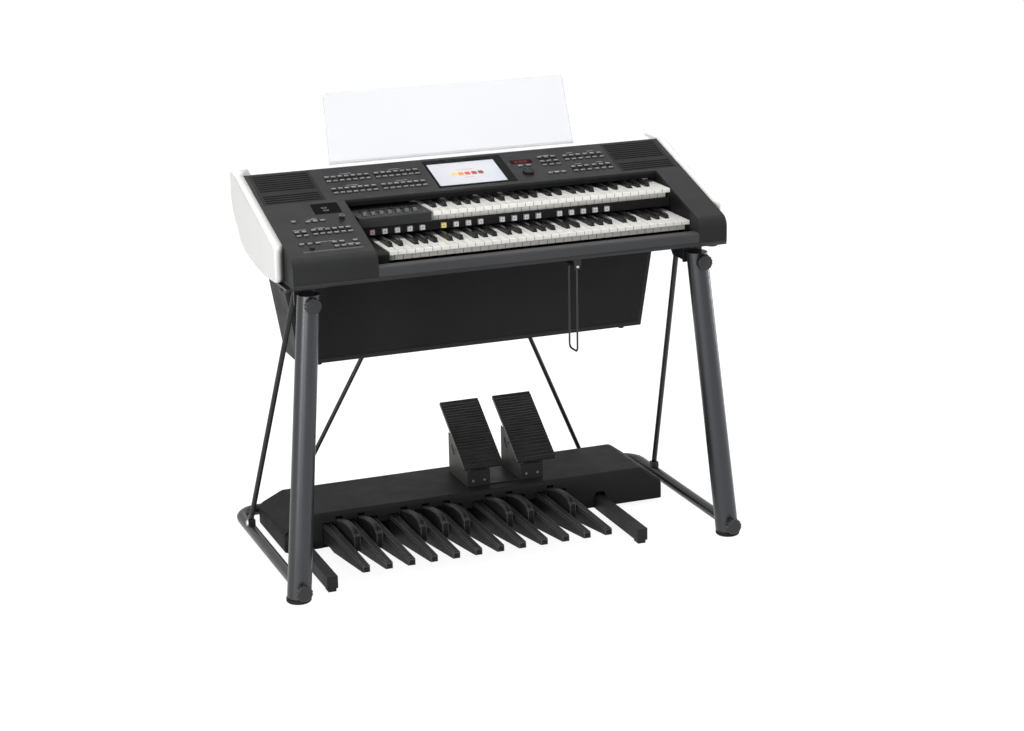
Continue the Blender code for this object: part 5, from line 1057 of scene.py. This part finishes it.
def build_stand():
    """Legs, floor tube, struts, brackets and knobs, with their bolts and eyes."""
    legs = use(painted_metal, "gunmetal_paint", tint("legs"), (0.30, 0.36), 0.70)
    tube = use(finish_tubes)
    grips = use(moulded, "knob_grip_plastic", (0.022, 0.022, 0.024), (0.30, 0.40), 0.1, 700.0,
                0.00004, 0.35)
    dress("left_leg right_leg", legs, 0.0012)
    dress("left_leg_foot right_leg_foot", use(finish_rubber), 0.0006)
    dress("floor_frame left_strut right_strut rear_brace left_bracket right_bracket", tube, 0.0006,
          2, 40.0)
    dress("left_upper_knob right_upper_knob left_lower_knob right_lower_knob", grips, 0.0012)
    bolts = bmesh.new()
    eyes = bmesh.new()
    discs = bmesh.new()
    for side in (-1.0, 1.0):
        out = (side, 0.0, 0.0)
        add_screw(bolts, facing(out, (side * 0.6268, 0.1819, 0.0560)), 0.0085, 0.0052)
        top = Vector((side * 0.5362, -0.1321, 0.7960))
        add_turned(eyes, ((0.0105, 0.0), (0.0120, 0.0012), (0.0120, 0.0128), (0.0105, 0.0140)), 28,
                   facing(out, top))
        add_screw(bolts, facing(out, top + Vector((side * 0.0140, 0.0, 0.0))), 0.0062, 0.0042)
        profile = ((0.0060, 0.0), (0.0060, 0.0040), (0.0150, 0.0052), (0.0175, 0.0075),
                   (0.0175, 0.0125), (0.0160, 0.0145), (0.0100, 0.0150))
        add_turned(discs, profile, 32, facing(DOWN, (side * 0.5980, -0.2351, 0.8277)))
    piece("stand_bolts", bolts, use(finish_steel), "organ")
    piece("strut_eyes", eyes, tube, "organ")
    piece("bracket_disc_knobs", discs, grips, "organ")
    build_knob_grips(grips)
    build_console_feet()


def build_knob_grips(material):
    """Ribs round the clamp knobs of the legs, and the discs on the faces of the upper ones."""
    count = 14
    bm = bmesh.new()
    for side in (-1.0, 1.0):
        for level in (0.7840, 0.0360):
            centre = leg_centre(side, level)
            radius = LEG_RADIUS - LEG_TAPER * level / LEG_LENGTH
            if level > 0.5:
                add_turned(bm, ((0.0125, 0.0), (0.0125, 0.0006), (0.0110, 0.0012),
                                (0.0060, 0.0013)), 28,
                           facing(FORWARD, centre - Vector((0.0, radius + 0.0229, 0.0))))
            for step in range(count):
                turn = 2.0 * pi * (step + 0.5) / count
                out = Vector((cos(turn), 0.0, sin(turn)))
                place = facing(FORWARD, centre + out * 0.0203 - Vector((0.0, radius + 0.0070, 0.0)))
                add_turned(bm, ((0.0016, 0.0), (0.0020, 0.0010), (0.0020, 0.0125),
                                (0.0012, 0.0138)), 8, place)
    piece("knob_grips", bm, material, "organ")


def build_console_feet():
    """Four low rubber feet under the console."""
    radius = sizes().rubber_foot
    profile = ((radius, 0.0), (radius, 0.0070), (radius * 0.92, 0.0095), (radius * 0.45, 0.0095),
               (radius * 0.40, 0.0080))
    bm = bmesh.new()
    for side in (-1.0, 1.0):
        for x, y in ((0.5300, -0.1900), (0.5600, 0.1200)):
            add_turned(bm, profile, 24, facing(DOWN, (side * x, y, 0.8340)))
    piece("console_feet", bm, use(finish_rubber), "organ")


def build_knee_lever():
    """The knee lever's loop and bracket, with its pins."""
    dress("knee_bracket knee_lever", use(finish_tubes), 0.0005, 2, 50.0)
    bm = bmesh.new()
    for side in (-1.0, 1.0):
        place = (0.1880, -0.2381 + side * 0.0338, 0.8040)
        add_screw(bm, facing((0.0, side, 0.0), place), 0.0042, 0.0030)
    piece("knee_lever_pins", bm, use(finish_steel), "organ")


def build_pedalboard():
    """Pedal case, the two sets of pedals and the runners."""
    # The last value paints highlights along the edges of the pedals
    plastic = use(moulded, "pedal_plastic", shade(tint("pedals"), 0.80), (0.42, 0.52), 0.12,
                  1100.0, 0.00010, 0.05, 7.0)
    case = use(moulded, "pedal_case_plastic", shade(tint("pedals"), 0.98), (0.50, 0.62), 0.08,
               900.0, 0.00012, 0.05)
    dress("pedal_case", case, 0.0008)
    dress("pedal_naturals pedal_sharps", plastic, 0.0014, clamp=True)
    dress("pedal_frame", use(finish_board), 0.0010, clamp=True)


def treadle_ribs():
    """Distances of the rib crests up the treadle: coarse steps at the heel, then fine ones."""
    middles = []
    along = 0.0040
    for count, pitch in ((6, 0.0130), (16, 0.0095)):
        middles += [along + pitch * (k + 0.525) for k in range(count)]
        along += pitch * count
    return middles


def add_wavy_rib(bm, left, along, wave):
    """A low rib across the treadle that waves up and down it."""
    section = ((-0.0013, -0.0003), (0.0013, -0.0003), (0.0006, 0.0009), (-0.0006, 0.0009))
    rings = []
    for n in range(9):
        x = left + 0.0030 + 0.1090 * n / 8
        middle = along + wave * sin(2.0 * pi * n / 8)
        rings.append([TREADLE @ Vector((x, middle + offset, level)) for offset, level in section])
    add_loft(bm, rings)


def add_slot_shade(bm, x):
    """A thin round-ended plate of painted shade in the slanted slot of a cheek."""
    tilt = radians(SLOT_TILT)
    outline = []
    for end in (1.0, -1.0):
        for step in range(7):
            turn = radians(SLOT_TILT - 90.0 * end + 30.0 * step)
            outline.append((SLOT_CENTRE[0] + end * SLOT_HALF * cos(tilt) + SLOT_RADIUS * cos(turn),
                            SLOT_CENTRE[1] + end * SLOT_HALF * sin(tilt) + SLOT_RADIUS * sin(turn)))
    add_loft(bm, [[Vector((x + step, y, z)) for y, z in outline] for step in (0.0, 0.0006)])


def build_expression_pedals():
    """The two treadles with their brackets and heel screws."""
    dress("left_treadle right_treadle", use(finish_rubber, "treadle_rubber"), 0.0004, 1)
    dress("treadle_bracket", use(finish_cheeks), 0.0012)
    bm = bmesh.new()
    for x in (-0.0180, 0.1430):
        for offset in (0.0170, 0.0510):
            add_screw(bm, facing(FORWARD, (x + offset, 0.0569, 0.1300)), 0.0038)
    piece("heel_screws", bm, use(moulded, "dark_steel", (0.16, 0.16, 0.16), (0.3, 0.4), 0.1, 700.0,
                                 0.00002, 0.4), "organ")
    # The ribs are real raised strips; their tone, lighter than the mat, is a painted highlight on the
    # crests
    ribs = use(moulded, "treadle_rib", (0.026, 0.026, 0.028), (0.26, 0.36), 0.1, 900.0, 0.00003,
               0.6)
    sides = use(moulded, "treadle_side", (0.100, 0.100, 0.094), (0.40, 0.50), 0.08, 900.0, 0.00003,
                0.2)
    slot_shades = bmesh.new()
    for body, left in TREADLE_LEFTS:
        name = body.split("_")[0] + "_treadle_"
        bm = bmesh.new()
        for k, along in enumerate(treadle_ribs()):
            add_wavy_rib(bm, left, along, 0.0009 * (1.0 if k % 2 else -1.0))
        piece(name + "ribs", bm, ribs, body)
        for x in (left + 0.0122, left + 0.0772):
            add_slot_shade(slot_shades, x)
        bm = bmesh.new()
        for x in (left - 0.0004, left + TREADLE_WIDTH - 0.0002):
            add_box(bm, x, x + 0.0006, 0.0025, 0.2430, -0.0112, -0.0030, TREADLE)
        piece(name + "sides", bm, sides, body)
    # The dark plates in the cheek slots are painted shade
    piece("slot_linings", slot_shades, use(finish_deep_shade), "organ")


def build_inside():
    """Circuit board and power unit."""
    dress("main_board", use(finish_circuit), 0.0)
    dress("power_unit", use(finish_steel), 0.0010)


# The studio

LENS = 79.86
CAMERA_PLACE = (-2.06319, -5.66462, 2.21114)
YAW, PITCH_DOWN, ROLL = radians(20.91), radians(16.00), radians(-1.12)
CONSOLE_MIDDLE = (0.0, 0.0, 0.7)
STAND_MIDDLE = (0.0, -0.2, 0.5)
LAMPS = (
    ("key_lamp", (-3.0, -4.3, 1.7), CONSOLE_MIDDLE, (1.9, 3.0), "key_power", 1.0),
    ("fill_lamp", (3.9, -1.6, 1.6), CONSOLE_MIDDLE, (1.4, 3.0), "fill_power", 1.0),
    ("top_lamp", (0.0, -0.5, 4.2), CONSOLE_MIDDLE, (3.8, 0.9), "top_power", 1.0),
    ("rear_lamp", (0.6, 2.6, 3.8), CONSOLE_MIDDLE, (3.0, 1.6), "rim_power", 1.0),
    ("left_strip", (-4.1, -2.5, 0.75), STAND_MIDDLE, (0.80, 1.5), "strip_power", 1.6),
    ("right_strip", (3.9, 0.35, 0.75), STAND_MIDDLE, (0.40, 1.4), "strip_power", 1.0),
)


def place_camera():
    """The photographed view: a long lens from the front left, a little above the keys."""
    data = bpy.data.cameras.new("camera")
    data.lens = LENS
    data.sensor_width = 36.0
    data.clip_end = 120.0
    camera = bpy.data.objects.new("camera", data)
    forward = Vector((sin(YAW) * cos(PITCH_DOWN), cos(YAW) * cos(PITCH_DOWN), -sin(PITCH_DOWN)))
    right = Vector((cos(YAW), -sin(YAW), 0.0))
    up = right.cross(forward)
    turned_right = right * cos(ROLL) + up * sin(ROLL)
    turned_up = up * cos(ROLL) - right * sin(ROLL)
    rows = zip(turned_right, turned_up, -forward, CAMERA_PLACE)
    camera.matrix_world = Matrix([*rows, (0.0, 0.0, 0.0, 1.0)])
    bpy.context.scene.collection.objects.link(camera)
    bpy.context.scene.camera = camera


def place_lamp(name, position, target, size, power):
    data = bpy.data.lights.new(name, 'AREA')
    data.shape = 'RECTANGLE'
    data.size, data.size_y = size
    data.energy = power
    lamp = bpy.data.objects.new(name, data)
    lamp.matrix_world = facing(Vector(position) - Vector(target), position)
    bpy.context.scene.collection.objects.link(lamp)


def build_world():
    """White all round, dimmer where it lights the organ than where it is seen."""
    world = bpy.data.worlds.new("studio")
    bpy.context.scene.world = world
    world.use_nodes = True
    nodes = Nodes(world.node_tree)
    ambient = bpy.context.scene.organ_stage.ambient
    bounced, direct = [nodes.filled("ShaderNodeBackground", Color=WHITE, Strength=strength)
                       for strength in (ambient, 1.0)]
    nodes.split_by_ray("ShaderNodeOutputWorld", bounced, direct)


def build_floor():
    """A wide sheet of pale paper just under the feet."""
    bm = bmesh.new()
    bmesh.ops.create_grid(bm, x_segments=4, y_segments=4, size=45.0)
    mesh = bpy.data.meshes.new("studio_floor")
    bm.to_mesh(mesh)
    bm.free()
    floor = bpy.data.objects.new("studio_floor", mesh)
    floor.location = (0.0, 0.0, -0.0005)
    bpy.context.scene.collection.objects.link(floor)
    material = bpy.data.materials.new("studio_floor")
    material.use_nodes = True
    nodes = Nodes(material.node_tree)
    bounced, paper = [nodes.filled("ShaderNodeBsdfDiffuse", Color=(grey, grey, grey, 1.0))
                      for grey in (0.62, 0.28)]
    glow = nodes.filled("ShaderNodeEmission", Strength=0.90)
    both = nodes.add("ShaderNodeAddShader")
    nodes.link(paper, both.inputs[0])
    nodes.link(glow, both.inputs[1])
    nodes.split_by_ray("ShaderNodeOutputMaterial", bounced, both.outputs[0])
    mesh.materials.append(material)


def build_stage():
    """The camera, the pale surroundings and the lamps."""
    bpy.context.scene.view_settings.view_transform = 'Standard'
    place_camera()
    build_world()
    build_floor()
    for name, position, target, size, setting, share in LAMPS:
        strength = getattr(bpy.context.scene.organ_stage, setting) * share
        place_lamp(name, position, target, size, strength)


# Operators

class ORGAN_OT_stage(bpy.types.Operator):
    """Sets up the pale studio, its lamps and the camera"""
    bl_idname = "organ.stage"
    bl_label = "Studio"

    def execute(self, context):
        build_stage()
        return {'FINISHED'}


class ORGAN_OT_console(bpy.types.Operator):
    """Finishes the dark mouldings and the pale shell of the console"""
    bl_idname = "organ.console"
    bl_label = "Console"

    def execute(self, context):
        build_case()
        build_shell()
        build_inside()
        return {'FINISHED'}


class ORGAN_OT_manuals(bpy.types.Operator):
    """Finishes the two manuals"""
    bl_idname = "organ.manuals"
    bl_label = "Manuals"

    def execute(self, context):
        build_manuals()
        return {'FINISHED'}


class ORGAN_OT_panel(bpy.types.Operator):
    """Finishes the controls and adds the plates, marks and sockets of the panel"""
    bl_idname = "organ.panel"
    bl_label = "Panel controls"

    def execute(self, context):
        build_panel_controls()
        build_cap_details()
        build_grille_linings()
        build_controller_details()
        build_panel_print()
        build_socket_plate()
        return {'FINISHED'}


class ORGAN_OT_display(bpy.types.Operator):
    """Builds the picture of the screen and of the number window"""
    bl_idname = "organ.display"
    bl_label = "Display"

    def execute(self, context):
        build_display()
        return {'FINISHED'}


class ORGAN_OT_music_rest(bpy.types.Operator):
    """Finishes the clear music rest"""
    bl_idname = "organ.music_rest"
    bl_label = "Music rest"

    def execute(self, context):
        build_music_rest()
        return {'FINISHED'}


class ORGAN_OT_speakers(bpy.types.Operator):
    """Finishes the speaker cabinet and the loudspeakers"""
    bl_idname = "organ.speakers"
    bl_label = "Speakers"

    def execute(self, context):
        build_speakers()
        return {'FINISHED'}


class ORGAN_OT_stand(bpy.types.Operator):
    """Finishes the stand and adds its bolts, eyes, grips and feet"""
    bl_idname = "organ.stand"
    bl_label = "Stand"

    def execute(self, context):
        build_stand()
        build_knee_lever()
        return {'FINISHED'}


class ORGAN_OT_pedals(bpy.types.Operator):
    """Finishes the pedalboard and the expression pedals"""
    bl_idname = "organ.pedals"
    bl_label = "Pedals"

    def execute(self, context):
        build_pedalboard()
        build_expression_pedals()
        return {'FINISHED'}


STEPS = (ORGAN_OT_stage, ORGAN_OT_console, ORGAN_OT_manuals, ORGAN_OT_panel, ORGAN_OT_display,
         ORGAN_OT_music_rest, ORGAN_OT_speakers, ORGAN_OT_stand, ORGAN_OT_pedals)


class ORGAN_PT_builder(bpy.types.Panel):
    """Lists the steps that build the organ"""
    bl_idname = "ORGAN_PT_builder"
    bl_label = "Electronic Organ"
    bl_space_type = 'VIEW_3D'
    bl_region_type = 'UI'
    bl_category = "Organ"

    def draw(self, context):
        for step in STEPS:
            self.layout.operator(step.bl_idname)
        for name in ("organ_colours", "organ_sizes", "organ_stage"):
            group = getattr(context.scene, name)
            box = self.layout.box()
            for key in group.__annotations__:
                box.prop(group, key)


GROUPS = {"organ_colours": OrganColours, "organ_sizes": OrganSizes, "organ_stage": OrganStage}


def register():
    for kind in (*GROUPS.values(), *STEPS, ORGAN_PT_builder):
        bpy.utils.register_class(kind)
    for name, kind in GROUPS.items():
        setattr(bpy.types.Scene, name, PointerProperty(type=kind))


def unregister():
    for name in GROUPS:
        delattr(bpy.types.Scene, name)
    for kind in (ORGAN_PT_builder, *STEPS[::-1], *list(GROUPS.values())[::-1]):
        bpy.utils.unregister_class(kind)


def main():
    register()
    for step in STEPS:
        group, action = step.bl_idname.split(".")
        getattr(getattr(bpy.ops, group), action)()


if __name__ == "__main__":
    main()
